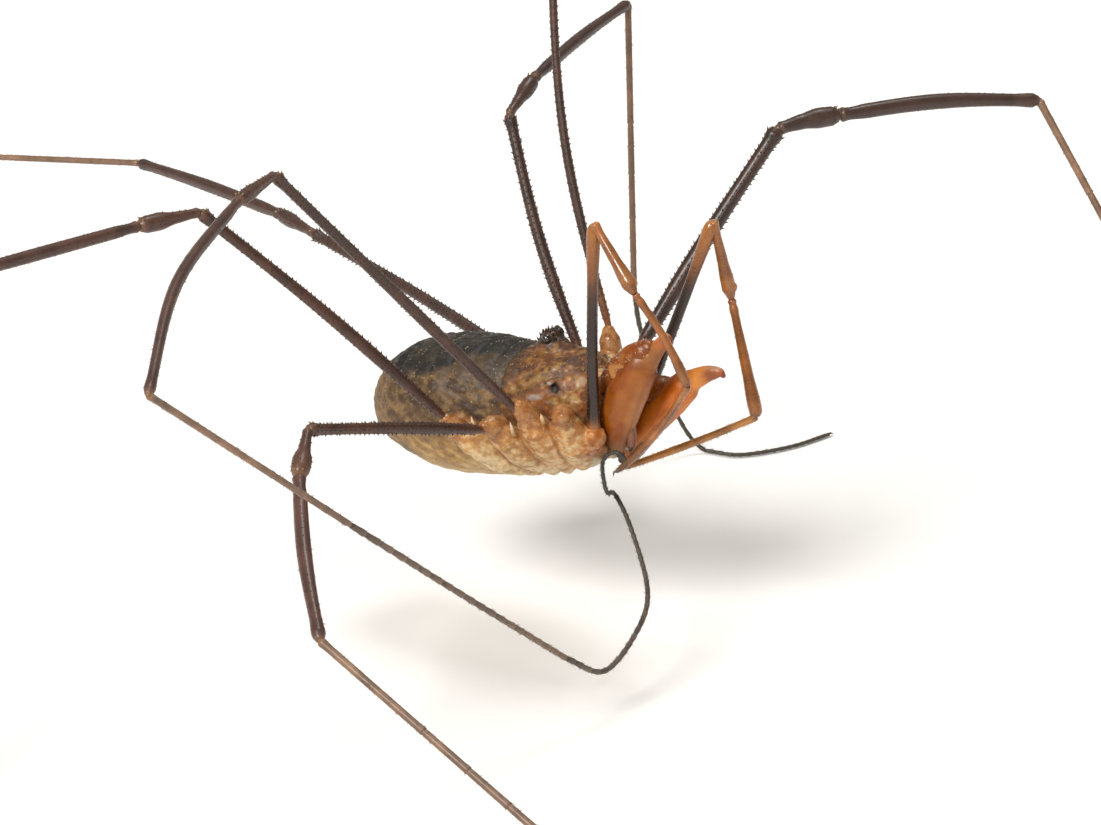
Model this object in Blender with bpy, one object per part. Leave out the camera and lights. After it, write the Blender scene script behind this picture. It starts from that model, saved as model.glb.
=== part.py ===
# Harvestman, male, life size, standing on the floor plane z = 0.
# Still model: no joints. Head towards +X, left side towards +Y, up is +Z.
# Lengths are written in millimetres and turned into metres by MM.
import bpy
import bmesh
import math
from mathutils import Vector, Matrix

MM = 0.001
COLLECTION = "harvestman"

# ---------------------------------------------------------------- body
BODY_HEIGHT = 5.55      # middle of the body above the floor
BODY_PITCH = 11.0       # head raised, degrees
GAP = 0.035             # thin gap between neighbouring solids

# rings across the body: along the body, half width, top, bottom
ABDOMEN = [
    (-3.16, 0.30, 0.34, -0.12), (-3.10, 0.68, 0.66, -0.40),
    (-2.92, 1.08, 1.02, -0.68), (-2.56, 1.42, 1.36, -0.98),
    (-2.06, 1.68, 1.62, -1.25), (-1.40, 1.86, 1.76, -1.48),
    (-0.60, 1.90, 1.80, -1.62), (0.10, 1.76, 1.77, -1.68),
    (0.70, 1.60, 1.68, -1.70), (1.10, 1.46, 1.60, -1.67)]
CARAPACE = [
    (1.10 + GAP, 1.42, 1.59, -1.66), (1.60, 1.40, 1.56, -1.64),
    (2.20, 1.34, 1.50, -1.58), (2.75, 1.22, 1.42, -1.48),
    (3.20, 1.02, 1.28, -1.26), (3.45, 0.80, 1.12, -1.00),
    (3.56, 0.55, 0.94, -0.78)]
RING_POWER = 2.3
RING_SIDES = 24

# eye tubercle: base centre, height and width, and the two eyes on its sides
TUBERCLE = dict(x=2.03, z=1.40, height=0.62, length=0.66, width=0.56)
EYE_RADIUS = 0.135
EYE_AT = (2.09, 0.28, 1.81)

# ---------------------------------------------------------------- legs
# Trochanters (body frame, right side; the left is the mirror image) and
# the base of each coxa near the middle of the underside.
TROCHANTER_RADIUS = 0.34
TROCHANTERS = {1: (3.15, -1.68, 0.30), 2: (2.35, -2.05, 0.45),
               3: (1.42, -2.15, 0.15), 4: (0.15, -2.02, 0.05)}
LEFT_RISE = {1: 0.35, 2: 0.50, 3: 0.15, 4: 0.10}   # left side held higher
COXA_BASES = {1: (2.72, -0.55, -1.28), 2: (2.28, -0.55, -1.38),
              3: (1.84, -0.55, -1.42), 4: (1.38, -0.55, -1.44)}
COXA_FLANKS = {1: (3.00, -1.22, -0.66), 2: (2.34, -1.48, -0.58),
               3: (1.66, -1.58, -0.74), 4: (0.95, -1.58, -0.90)}
COXA_RADII = (0.15, 0.33, 0.25)
PALP_COXA = ((3.05, -0.62, -0.86), (3.58, -1.13, -0.42))
PALP_COXA_RADII = (0.24, 0.29)

LEG_SIDES = 8
LIMB_RADIUS = 0.25      # leg solids are half a millimetre thick
FOOT_HEIGHT = LIMB_RADIUS * math.cos(math.pi / LEG_SIDES)
TO_FLOOR = None         # a run with this elevation ends at foot height

# Each leg from its trochanter outwards: part, then its runs of
# (length, compass angle from +X, elevation), in mm and degrees.
LEGS = {
    "left_1": ((1, 1), [
        ("femur", [(6.85, 65.3, 50.3)]),
        ("patella", [(1.70, 55.0, 5.4)]),
        ("tibia", [(5.50, 50.8, -1.6)]),
        ("metatarsus", [(6.43, -5.2, -53.6)]),
        ("tarsus", [(3.4, 12.0, -60.0), (3.0, 30.0, -52.0),
                    (1.9, 34.0, TO_FLOOR), (2.2, 32.0, 0.0)])]),
    "left_2": ((2, 1), [
        ("femur", [(10.15, 143.3, 65.8)]),
        ("patella", [(1.90, 45.0, 10.0)]),
        ("tibia", [(9.20, 40.0, 18.0)]),
        ("metatarsus", [(9.20, 40.0, -38.0)]),
        ("tarsus", [(6.5, 36.0, -68.0), (4.8, 34.0, -60.0),
                    (4.6, 30.0, TO_FLOOR), (2.4, 26.0, 0.0)])]),
    "left_3": ((3, 1), [
        ("femur", [(6.80, 153.9, 57.4)]),
        ("patella", [(1.50, 94.9, 22.7)]),
        ("tibia", [(5.40, 94.5, 6.8)]),
        ("metatarsus", [(7.70, -43.6, -84.1)]),
        ("tarsus", [(2.03, 104.6, -63.2), (2.84, 54.6, -66.4),
                    (1.05, 33.8, TO_FLOOR), (1.0, 14.0, 0.0),
                    (1.5, 55.0, 0.0), (1.5, 72.0, 0.0)])]),
    "left_4": ((4, 1), [
        ("femur", [(8.80, 166.7, 11.3)]),
        ("patella", [(1.75, 155.1, 1.3)]),
        ("tibia", [(7.20, 158.6, -3.3)]),
        ("metatarsus", [(10.00, -175.3, -6.3)]),
        ("tarsus", [(4.6, 178.0, -56.0), (3.0, 175.0, TO_FLOOR),
                    (3.0, 172.0, 0.0)])]),
    "right_2": ((2, -1), [
        ("femur", [(10.20, -112.7, 46.5)]),
        ("patella", [(1.90, -79.9, -1.3)]),
        ("tibia", [(4.30, -72.4, -6.7), (4.00, -63.1, -16.7)]),
        ("metatarsus", [(8.00, 83.0, -38.3)]),
        ("tarsus_upper", [(4.50, 76.3, -38.7), (3.89, 72.2, -38.6)]),
        ("tarsus_lower", [(1.35, 69.2, -29.3), (1.59, 89.4, 18.8),
                          (1.26, 108.5, 27.8), (1.79, 136.4, 33.3),
                          (1.10, 146.3, 31.3)])]),
    "right_3": ((3, -1), [
        ("femur", [(6.40, -102.0, 14.8)]),
        ("patella", [(1.50, -64.4, -25.4)]),
        ("tibia", [(5.20, -49.9, -23.1)]),
        ("metatarsus", [(7.63, -3.0, -27.1)]),
        ("tarsus", [(4.2, -12.0, TO_FLOOR), (3.0, -20.0, 0.0)])]),
    "right_4": ((4, -1), [
        ("femur", [(8.80, -131.3, 44.7)]),
        ("patella", [(1.75, -108.6, 0.8)]),
        ("tibia", [(7.20, -99.4, 2.3)]),
        ("metatarsus", [(9.60, 110.6, -71.2)]),
        ("tarsus", [(4.0, -60.0, -24.0), (1.6, -80.0, TO_FLOOR),
                    (2.8, -84.0, 0.0)])]),
}

# ---------------------------------------------------------------- palps
PALPS = {
    "right": ((3.60, -1.15, -0.36), [
        ("femur", [(5.19, 158.1, 87.0)]),
        ("patella", [(0.43, -10.5, 26.1), (1.81, -6.3, -49.0)]),
        ("tibia", [(2.69, 13.1, -60.4)]),
        ("tarsus", [(2.41, 163.7, -48.4)])]),
    "left": ((3.60, 1.15, -0.36), [
        ("femur", [(4.83, 42.5, 70.3)]),
        ("patella", [(0.42, 32.0, 10.0), (1.78, 49.5, -78.5)]),
        ("tibia", [(3.05, -22.2, -70.2)]),
        ("tarsus", [(2.97, -160.7, -27.5)])]),
}

# ---------------------------------------------------------------- jaws
# Body frame: along, across, up, radius. Each jaw is a base article, a
# hand that ends in the fixed finger, a horn on the hand, and a finger.
JAWS = {
    "right": dict(
        base=[(3.80, -0.44, 0.72, 0.28), (4.24, -0.50, 1.04, 0.40),
              (4.80, -0.54, 1.42, 0.38), (5.16, -0.55, 1.64, 0.24)],
        hand=[(5.22, -0.56, 1.42, 0.26), (5.02, -0.56, 1.22, 0.42),
              (4.60, -0.56, 0.62, 0.47), (4.22, -0.54, -0.02, 0.42),
              (4.02, -0.50, -0.50, 0.28), (3.93, -0.46, -0.84, 0.17),
              (3.88, -0.42, -1.10, 0.10)],
        horn=[(5.16, -0.56, 1.36, 0.20), (5.52, -0.56, 1.72, 0.17),
              (5.86, -0.56, 1.88, 0.06)],
        finger=[(4.22, -0.50, -0.40, 0.16), (4.20, -0.46, -0.72, 0.12),
                (4.08, -0.42, -1.02, 0.07)]),
    "left": dict(
        base=[(3.66, 0.44, 0.36, 0.28), (4.20, 0.50, 0.30, 0.37),
              (4.75, 0.50, 0.26, 0.36), (5.10, 0.50, 0.24, 0.24)],
        hand=[(5.62, 0.50, 0.56, 0.22), (5.38, 0.50, 0.38, 0.38),
              (4.90, 0.50, 0.02, 0.43), (4.32, 0.50, -0.46, 0.39),
              (3.86, 0.48, -0.92, 0.26), (3.50, 0.44, -1.28, 0.16),
              (3.24, 0.40, -1.52, 0.10)],
        horn=[(5.50, 0.50, 0.48, 0.24), (6.05, 0.50, 0.68, 0.19),
              (6.52, 0.50, 0.68, 0.06)],
        finger=[(3.98, 0.46, -1.06, 0.16), (3.62, 0.43, -1.42, 0.12),
                (3.20, 0.40, -1.70, 0.07)]),
}

# ---------------------------------------------------------------- colours
COLOURS = {
    "carapace": ((0.30, 0.15, 0.07, 1), 0.45),
    "abdomen": ((0.16, 0.12, 0.08, 1), 0.50),
    "eye": ((0.01, 0.01, 0.01, 1), 0.12),
    "trochanter": ((0.42, 0.18, 0.06, 1), 0.40),
    "jaw": ((0.50, 0.20, 0.05, 1), 0.35),
    "palp_dark": ((0.09, 0.045, 0.04, 1), 0.35),
    "palp": ((0.42, 0.17, 0.05, 1), 0.30),
    "leg_dark": ((0.07, 0.04, 0.035, 1), 0.38),
    "leg_tan": ((0.22, 0.13, 0.08, 1), 0.45),
    "foot": ((0.10, 0.08, 0.06, 1), 0.50),
}


# ---------------------------------------------------------------- helpers
def turn(length, angle, elevation):
    a, e = math.radians(angle), math.radians(elevation)
    return Vector((math.cos(e) * math.cos(a), math.cos(e) * math.sin(a),
                   math.sin(e))) * length


PITCH = math.radians(BODY_PITCH)
ALONG = Vector((math.cos(PITCH), 0.0, math.sin(PITCH)))
ACROSS = Vector((0.0, 1.0, 0.0))
RAISED = Vector((-math.sin(PITCH), 0.0, math.cos(PITCH)))


def from_body(p):
    """A point given in the body frame, in the frame of the floor."""
    return (Vector((0, 0, BODY_HEIGHT)) + ALONG * p[0] + ACROSS * p[1]
            + RAISED * p[2])


def make_object(name, rings, collection):
    """Closed solid through rings of equal size, flat at both ends."""
    mesh = bpy.data.meshes.new(name)
    bm = bmesh.new()
    rows = [[bm.verts.new(v * MM) for v in ring] for ring in rings]
    n = len(rows[0])
    for a, b in zip(rows, rows[1:]):
        for k in range(n):
            bm.faces.new((a[k], a[(k + 1) % n], b[(k + 1) % n], b[k]))
    bm.faces.new(list(reversed(rows[0])))
    bm.faces.new(rows[-1])
    bmesh.ops.recalc_face_normals(bm, faces=bm.faces)
    bmesh.ops.triangulate(bm, faces=bm.faces)
    bm.to_mesh(mesh)
    bm.free()
    ob = bpy.data.objects.new(name, mesh)
    collection.objects.link(ob)
    return ob


def body_rings(table, grow=0.0):
    """Rings of a rounded, slightly squared section across the body."""
    rings = []
    last = len(table) - 1
    for i, (x, half, top, bottom) in enumerate(table):
        if grow and i == 0:
            x -= grow
        if grow and i == last:
            x += grow
        mid, high = (top + bottom) / 2, (top - bottom) / 2
        ring = []
        for k in range(RING_SIDES):
            a = 2 * math.pi * k / RING_SIDES
            c, s = math.cos(a), math.sin(a)
            y = math.copysign(abs(c) ** (2 / RING_POWER), c)
            z = math.copysign(abs(s) ** (2 / RING_POWER), s)
            ring.append(from_body((x, (half + grow) * y,
                                   mid + (high + grow) * z)))
        rings.append(ring)
    return rings


def smooth_path(points, steps):
    """Catmull-Rom line through the points."""
    if len(points) < 3:
        return [points[0].lerp(points[-1], i / steps)
                for i in range(steps + 1)]
    ext = ([points[0] * 2 - points[1]] + list(points)
           + [points[-1] * 2 - points[-2]])
    out = []
    for i in range(1, len(ext) - 2):
        a, b, c, d = ext[i - 1:i + 3]
        for j in range(steps):
            t = j / steps
            out.append(0.5 * ((2 * b) + (c - a) * t
                              + (2 * a - 5 * b + 4 * c - d) * t * t
                              + (3 * b - a - 3 * c + d) * t ** 3))
    out.append(points[-1].copy())
    return out


def tube_rings(path, radii, sides, first_plane=None, last_plane=None,
               flatten=1.0):
    """Rings square to a path, their frame carried back from the far end.
    A plane (point, normal) mitres that end."""
    n = len(path)
    tangents = []
    for i in range(n):
        a = path[max(i - 1, 0)]
        b = path[min(i + 1, n - 1)]
        tangents.append((b - a).normalized())
    up = Vector((0, 0, 1))
    if abs(tangents[-1].z) > 0.95:
        up = Vector((1, 0, 0))
    ups = [None] * n
    for i in range(n - 1, -1, -1):
        up = (up - tangents[i] * up.dot(tangents[i])).normalized()
        ups[i] = up
    rings = []
    for i in range(n):
        side = tangents[i].cross(ups[i])
        ring = []
        for k in range(sides):
            a = 2 * math.pi * (k + 0.5) / sides
            ring.append(path[i] + (ups[i] * math.cos(a)
                                   + side * math.sin(a) * flatten)
                        * radii[i])
        rings.append(ring)
    for index, plane, t in ((0, first_plane, tangents[0]),
                            (-1, last_plane, tangents[-1])):
        if plane:
            point, normal = plane
            rings[index] = [v + t * ((point - v).dot(normal)
                                     / t.dot(normal))
                            for v in rings[index]]
    return rings


def merge_flat(ob, degrees):
    """Join neighbouring facets that lie almost in one plane."""
    bm = bmesh.new()
    bm.from_mesh(ob.data)
    bmesh.ops.dissolve_limit(bm, angle_limit=math.radians(degrees),
                             verts=bm.verts, edges=bm.edges)
    bmesh.ops.triangulate(bm, faces=bm.faces)
    bm.to_mesh(ob.data)
    bm.free()


def blend_at(values, share):
    """Value at a share of the way through a few evenly spread values."""
    t = share * (len(values) - 1)
    k = min(int(t), len(values) - 2)
    f = t - k
    f = f * f * (3 - 2 * f)
    return values[k] * (1 - f) + values[k + 1] * f


def blend(values, count):
    """Spread a few values evenly over a number of rings."""
    return [blend_at(values, i / (count - 1)) for i in range(count)]


def mitre_depth(radius, before, after):
    """How far a mitred end reaches along the tube at a bend."""
    half = before.angle(after) / 2
    return radius * math.tan(half) * 1.1 + GAP


def boolean(target, other, kind):
    mod = target.modifiers.new(kind, 'BOOLEAN')
    mod.operation = kind
    mod.solver = 'EXACT'
    mod.object = other
    bpy.context.view_layer.update()
    deps = bpy.context.evaluated_depsgraph_get()
    mesh = bpy.data.meshes.new_from_object(target.evaluated_get(deps))
    target.modifiers.remove(mod)
    old = target.data
    target.data = mesh
    bpy.data.meshes.remove(old)
    bm = bmesh.new()
    bm.from_mesh(mesh)
    bmesh.ops.remove_doubles(bm, verts=bm.verts, dist=5e-6)
    bmesh.ops.triangulate(bm, faces=bm.faces)
    bm.to_mesh(mesh)
    bm.free()


def ball(name, centre, radius, collection, rings=6, sides=10, axis=None):
    """Ball of flat facets with its poles on an axis."""
    axis = (axis or Vector((0, 0, 1))).normalized()
    side = axis.orthogonal().normalized()
    other = axis.cross(side)
    rows = []
    for i in range(rings + 1):
        a = math.pi * (0.04 + 0.92 * i / rings)
        rows.append([centre + (axis * math.cos(a)
                               + (side * math.cos(2 * math.pi * k / sides)
                                  + other * math.sin(2 * math.pi * k / sides))
                               * math.sin(a)) * radius
                     for k in range(sides)])
    return make_object(name, rows, collection)


def jaw_tube(name, table, collection, grow=0.0, sides=12, flatten=0.92):
    points = [from_body(row[:3]) for row in table]
    path = smooth_path(points, 2)
    radii = [r + grow for r in blend([row[3] for row in table], len(path))]
    if grow:
        path[0] = path[0] - (path[1] - path[0]).normalized() * grow
        path[-1] = path[-1] + (path[-1] - path[-2]).normalized() * grow
    return make_object(name, tube_rings(path, radii, sides,
                                        flatten=flatten), collection)


def paint(ob, colour):
    rgba, rough = COLOURS[colour]
    mat = bpy.data.materials.get(colour) or bpy.data.materials.new(colour)
    mat.use_nodes = True
    mat.diffuse_color = rgba
    shader = mat.node_tree.nodes["Principled BSDF"]
    shader.inputs["Base Color"].default_value = rgba
    shader.inputs["Roughness"].default_value = rough
    ob.data.materials.clear()
    ob.data.materials.append(mat)
    return ob


def mirror_y(p, side, rise=0.0):
    return (p[0], -p[1] * side, p[2] + (rise if side > 0 else 0.0))


# ---------------------------------------------------------------- build
def build():
    for ob in list(bpy.data.objects):
        bpy.data.objects.remove(ob)
    main = bpy.data.collections.new(COLLECTION)
    tools = bpy.data.collections.new("cutters")
    bpy.context.scene.collection.children.link(main)
    bpy.context.scene.collection.children.link(tools)
    cutters = []

    def cutter(ob):
        ob.hide_render = True
        ob.display_type = 'WIRE'
        cutters.append(ob)
        return ob

    # abdomen and carapace
    paint(make_object("abdomen", body_rings(ABDOMEN), main), "abdomen")
    prosoma = make_object("carapace", body_rings(CARAPACE), main)

    # coxae, two palp coxae and the eye tubercle grow from the carapace
    for side, word in ((-1, "right"), (1, "left")):
        for number in (1, 2, 3, 4):
            rise = LEFT_RISE[number]
            points = [from_body(mirror_y(t[number], side, rise * share))
                      for t, share in ((COXA_BASES, 0.0), (COXA_FLANKS, 0.5),
                                       (TROCHANTERS, 1.0))]
            points[2] = points[2].lerp(points[1], 0.10)
            path = smooth_path(points, 2)
            coxa = cutter(make_object(
                "coxa_%s_%d" % (word, number),
                tube_rings(path, blend(COXA_RADII, len(path)), 8), tools))
            boolean(prosoma, coxa, 'UNION')
        points = [from_body(mirror_y(p, side)) for p in PALP_COXA]
        path = smooth_path(points, 2)
        coxa = cutter(make_object(
            "palp_coxa_" + word,
            tube_rings(path, blend(PALP_COXA_RADII, len(path)), 8), tools))
        boolean(prosoma, coxa, 'UNION')
    t = TUBERCLE
    rows = []
    for i in range(6):
        f = i / 5
        w = math.cos(f * math.pi / 2 * 0.93) ** 0.55
        rows.append([from_body((
            t["x"] + t["length"] / 2 * w * math.cos(2 * math.pi * k / 12),
            t["width"] / 2 * w * math.sin(2 * math.pi * k / 12),
            t["z"] - 0.1 + (t["height"] + 0.1) * math.sin(f * math.pi / 2)))
            for k in range(12)])
    boolean(prosoma, cutter(make_object("eye_tubercle", rows, tools)),
            'UNION')

    # eyes sit in shallow sockets on the tubercle
    for side, word in ((-1, "right"), (1, "left")):
        x, y, z = EYE_AT
        centre = from_body((x, y * side, z))
        socket = cutter(ball("socket_" + word, centre, EYE_RADIUS + GAP,
                             tools, 5, 10, ACROSS))
        boolean(prosoma, socket, 'DIFFERENCE')
        paint(ball("eye_" + word, centre, EYE_RADIUS, main, 5, 10, ACROSS),
              "eye")

    # trochanters are balls in the ends of the coxae
    abdomen_cut = cutter(make_object("abdomen_cut",
                                     body_rings(ABDOMEN, GAP), tools))
    for side, word in ((-1, "right"), (1, "left")):
        for number, at in TROCHANTERS.items():
            rise = LEFT_RISE[number]
            centre = from_body(mirror_y(at, side, rise))
            inner = from_body(mirror_y(COXA_FLANKS[number], side,
                                       rise / 2))
            axis = centre - inner
            socket = cutter(ball("seat_%s_%d" % (word, number), centre,
                                 TROCHANTER_RADIUS + GAP, tools, 6, 10,
                                 axis))
            boolean(prosoma, socket, 'DIFFERENCE')
            name = "trochanter_%s_%d" % (word, number)
            knob = ball(name, centre, TROCHANTER_RADIUS, main, 6, 10, axis)
            if number == 4:
                boolean(knob, abdomen_cut, 'DIFFERENCE')
            paint(knob, "trochanter")
    boolean(prosoma, abdomen_cut, 'DIFFERENCE')
    merge_flat(prosoma, 4.0)
    paint(prosoma, "carapace")

    # jaws
    for word, jaw in JAWS.items():
        base = jaw_tube("jaw_base_" + word, jaw["base"], main)
        hand = jaw_tube("jaw_hand_" + word, jaw["hand"], main)
        boolean(hand, cutter(jaw_tube("horn_" + word, jaw["horn"], tools,
                                      sides=10)), 'UNION')
        boolean(hand, cutter(jaw_tube("finger_" + word, jaw["finger"],
                                      tools, sides=8)), 'UNION')
        boolean(hand, cutter(jaw_tube("base_cut_" + word, jaw["base"],
                                      tools, grow=GAP)), 'DIFFERENCE')
        paint(base, "jaw")
        paint(hand, "jaw")

    # one limb: every part a tube, mitred where two parts meet
    def limb(label, start, parts, shapes, sides=LEG_SIDES, clear=0.0):
        here = start
        lines = []
        for part, runs in parts:
            points = [here]
            for length, angle, elevation in runs:
                if elevation is TO_FLOOR:
                    drop = FOOT_HEIGHT - here.z
                    elevation = math.degrees(math.asin(drop / length))
                here = here + turn(length, angle, elevation)
                if elevation == 0.0:
                    here.z = FOOT_HEIGHT
                points.append(here)
            lines.append((part, points))
        first = lines[0][1]
        first[0] = first[0] + (first[1] - first[0]).normalized() * clear
        for i, (part, points) in enumerate(lines):
            colour, radii, steps = shapes[part]
            start_dir = (points[1] - points[0]).normalized()
            end_dir = (points[-1] - points[-2]).normalized()
            first_plane = last_plane = None
            if i > 0:
                before = lines[i - 1][1]
                d_in = (before[-1] - before[-2]).normalized()
                normal = (d_in + start_dir).normalized()
                first_plane = (points[0] + normal * GAP / 2, normal)
            if i < len(lines) - 1:
                after = lines[i + 1][1]
                d_out = (after[1] - after[0]).normalized()
                normal = (d_out + end_dir).normalized()
                last_plane = (points[-1] - normal * GAP / 2, normal)
            if len(points) == 2:
                whole = (points[1] - points[0]).length
                near = far = 0.0
                if first_plane:
                    near = mitre_depth(radii[0], d_in, start_dir)
                if last_plane:
                    far = mitre_depth(radii[-1], end_dir, d_out)
                stops = ([0.0] + [near + (whole - near - far) * k / steps
                                  for k in range(steps + 1)] + [whole])
                if not first_plane:
                    stops.pop(0)
                if not last_plane:
                    stops.pop()
                path = [points[0] + start_dir * s for s in stops]
                sizes = [blend_at(radii, s / whole) for s in stops]
            else:
                path = smooth_path(points, 3)
                for v in path:
                    v.z = max(v.z, FOOT_HEIGHT)
                sizes = blend(radii, len(path))
            rings = tube_rings(path, sizes, sides, first_plane, last_plane)
            name = label % part
            paint(make_object(name, rings, main), colour)

    r = LIMB_RADIUS
    leg_shapes = {
        "femur": ("leg_dark", (r, r, r, r, r * 1.06), 2),
        "patella": ("leg_dark", (r, r * 1.06, r * 1.3, r * 1.05), 4),
        "tibia": ("leg_dark", (r, r, r, r * 1.1), 2),
        "metatarsus": ("leg_tan", (r, r, r, r), 1),
        "tarsus": ("foot", (r, r, r, r), 4),
        "tarsus_upper": ("foot", (r, r, r), 4),
        "tarsus_lower": ("foot", (r, r, r * 0.9), 4),
    }
    for name, ((number, side), parts) in LEGS.items():
        centre = from_body(mirror_y(TROCHANTERS[number], side,
                                    LEFT_RISE[number]))
        limb("%s_" + name, centre, parts, leg_shapes,
             clear=TROCHANTER_RADIUS + GAP)

    palp_shapes = {
        "femur": ("palp_dark", (r, r, r, r * 0.7), 3),
        "patella": ("palp", (r * 0.7, r * 0.95, r * 1.2, r), 4),
        "tibia": ("palp", (r * 0.9, r * 0.9, r, r * 0.96), 2),
        "tarsus": ("palp", (r * 0.9, r * 0.9, r * 0.7), 3),
    }
    for word, (at, parts) in PALPS.items():
        limb("palp_%s_" + word, from_body(at),
             parts, palp_shapes,
             clear=PALP_COXA_RADII[1] + GAP)

    for ob in cutters:
        if ob.name in main.objects:
            main.objects.unlink(ob)

    # the middle of the footprint goes over the origin
    xs, ys = [], []
    for ob in main.objects:
        for v in ob.data.vertices:
            xs.append(v.co.x)
            ys.append(v.co.y)
    shift = Matrix.Translation(Vector((-(min(xs) + max(xs)) / 2,
                                       -(min(ys) + max(ys)) / 2, 0.0)))
    for ob in list(main.objects) + cutters:
        ob.data.transform(shift)


build()
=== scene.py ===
"""Life-size still model of a harvestman, drawn over its CAD frame.

All shapes are worked out in millimetres and written in metres. The body
frame is along / across / up, pitched nose up over the floor.
"""
import math

import bpy
import numpy as np
from mathutils import Vector, Matrix


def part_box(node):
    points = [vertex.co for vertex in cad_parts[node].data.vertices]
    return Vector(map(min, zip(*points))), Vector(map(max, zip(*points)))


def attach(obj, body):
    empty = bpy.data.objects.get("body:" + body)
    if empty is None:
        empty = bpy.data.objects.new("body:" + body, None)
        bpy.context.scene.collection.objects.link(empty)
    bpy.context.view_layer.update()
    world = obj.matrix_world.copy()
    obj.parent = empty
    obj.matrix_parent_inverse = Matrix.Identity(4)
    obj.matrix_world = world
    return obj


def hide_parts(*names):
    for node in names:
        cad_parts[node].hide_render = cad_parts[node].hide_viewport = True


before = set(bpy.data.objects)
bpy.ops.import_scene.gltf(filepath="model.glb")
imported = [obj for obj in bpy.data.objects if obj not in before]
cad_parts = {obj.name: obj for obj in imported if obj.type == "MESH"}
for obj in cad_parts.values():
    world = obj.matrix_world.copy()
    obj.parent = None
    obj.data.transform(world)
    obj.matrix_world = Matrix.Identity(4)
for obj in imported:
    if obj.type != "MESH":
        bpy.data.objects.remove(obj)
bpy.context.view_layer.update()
MM = 0.001
EXPOSED = 0.66      # colours are noted as they look in bright light

# ------------------------------------------------------------ the frame
BODY_HEIGHT = 5.55
PITCH = math.radians(11.0)
AX = np.array([math.cos(PITCH), 0.0, math.sin(PITCH)])
AY = np.array([0.0, 1.0, 0.0])
AZ = np.array([-math.sin(PITCH), 0.0, math.cos(PITCH)])
EYE_AT = (2.09, 0.28, 1.81)
EYE_RADIUS = 0.135


def unshifted(p):
    return (np.array([0.0, 0.0, BODY_HEIGHT]) + AX * p[0] + AY * p[1]
            + AZ * p[2])


_lo, _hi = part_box("eye_right")
SHIFT = (np.array(_lo) + np.array(_hi)) / 2 / MM - unshifted(
    (EYE_AT[0], -EYE_AT[1], EYE_AT[2]))
SHIFT[2] = 0.0
ORIGIN = np.array([0.0, 0.0, BODY_HEIGHT]) + SHIFT


def out(V):
    """Body frame to the frame of the floor, both in mm."""
    V = np.asarray(V, float)
    return (ORIGIN + V[..., 0:1] * AX + V[..., 1:2] * AY
            + V[..., 2:3] * AZ)


# ------------------------------------------------------------ number tools
def step(lo, hi, v):
    t = np.clip((v - lo) / (hi - lo), 0.0, 1.0)
    return t * t * (3 - 2 * t)


def mix(a, b, t):
    a, b = np.asarray(a, float), np.asarray(b, float)
    t = np.asarray(t, float)
    if t.ndim:
        t = t[..., None]
    return a * (1 - t) + b * t


def lattice(i, j, k, seed):
    h = (i * 374761393 + j * 668265263 + k * 974634777
         + seed * 127412617) & 0xFFFFFFFF
    h = ((h ^ (h >> 13)) * 1274126177) & 0xFFFFFFFF
    h = h ^ (h >> 16)
    return (h & 0xFFFF) / 32767.5 - 1.0


def noise(P, size, seed=0):
    """Smooth value noise from -1 to 1 with features of the given size."""
    q = np.asarray(P, float) / size
    base = np.floor(q).astype(np.int64)
    f = q - base
    f = f * f * f * (f * (f * 6 - 15) + 10)
    i, j, k = base[:, 0], base[:, 1], base[:, 2]
    u, v, w = f[:, 0], f[:, 1], f[:, 2]
    total = 0.0
    for a in (0, 1):
        for b in (0, 1):
            for c in (0, 1):
                weight = ((u if a else 1 - u) * (v if b else 1 - v)
                          * (w if c else 1 - w))
                total = total + weight * lattice(i + a, j + b, k + c, seed)
    return total


def fbm(P, size, octaves=3, seed=0):
    total, amp, norm = 0.0, 1.0, 0.0
    for o in range(octaves):
        total = total + amp * noise(P, size / 2 ** o, seed + 17 * o)
        norm += amp
        amp *= 0.55
    return total / norm


def ridged(P, size, octaves=3, seed=0):
    """Creases: near 1 on thin winding lines, falling to 0 between."""
    total, amp, norm = 0.0, 1.0, 0.0
    for o in range(octaves):
        total = total + amp * (1 - np.abs(noise(P, size / 2 ** o,
                                                seed + 31 * o))) ** 3
        norm += amp
        amp *= 0.5
    return total / norm


def to_line(P, points):
    """Distance of each point to a line through points, and how far along
    the line (0 to 1) the nearest place is."""
    best = np.full(len(P), 1e9)
    along = np.zeros(len(P))
    n = len(points) - 1
    for i in range(n):
        a = np.asarray(points[i], float)
        b = np.asarray(points[i + 1], float)
        d = b - a
        t = np.clip(((P - a) @ d) / (d @ d), 0, 1)
        dist = np.linalg.norm(P - a - t[:, None] * d, axis=1)
        near = dist < best
        best = np.where(near, dist, best)
        along = np.where(near, (i + t) / n, along)
    return best, along


def srgb(c):
    """0-255 screen colour to linear light."""
    c = np.clip(np.asarray(c, float) / 255.0, 0, 1)
    return np.where(c <= 0.04045, c / 12.92, ((c + 0.055) / 1.055) ** 2.4)


# ------------------------------------------------------------ mesh tools
def unit(v):
    return v / (np.linalg.norm(v) + 1e-12)


def catmull(points, steps):
    P = [np.asarray(p, float) for p in points]
    if len(P) < 3:
        return [P[0] + (P[-1] - P[0]) * i / steps for i in range(steps + 1)]
    ext = [2 * P[0] - P[1]] + P + [2 * P[-1] - P[-2]]
    line = []
    for i in range(1, len(ext) - 2):
        a, b, c, d = ext[i - 1:i + 3]
        for j in range(steps):
            t = j / steps
            line.append(0.5 * ((2 * b) + (c - a) * t
                               + (2 * a - 5 * b + 4 * c - d) * t * t
                               + (3 * b - a - 3 * c + d) * t ** 3))
    line.append(P[-1])
    return line


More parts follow.
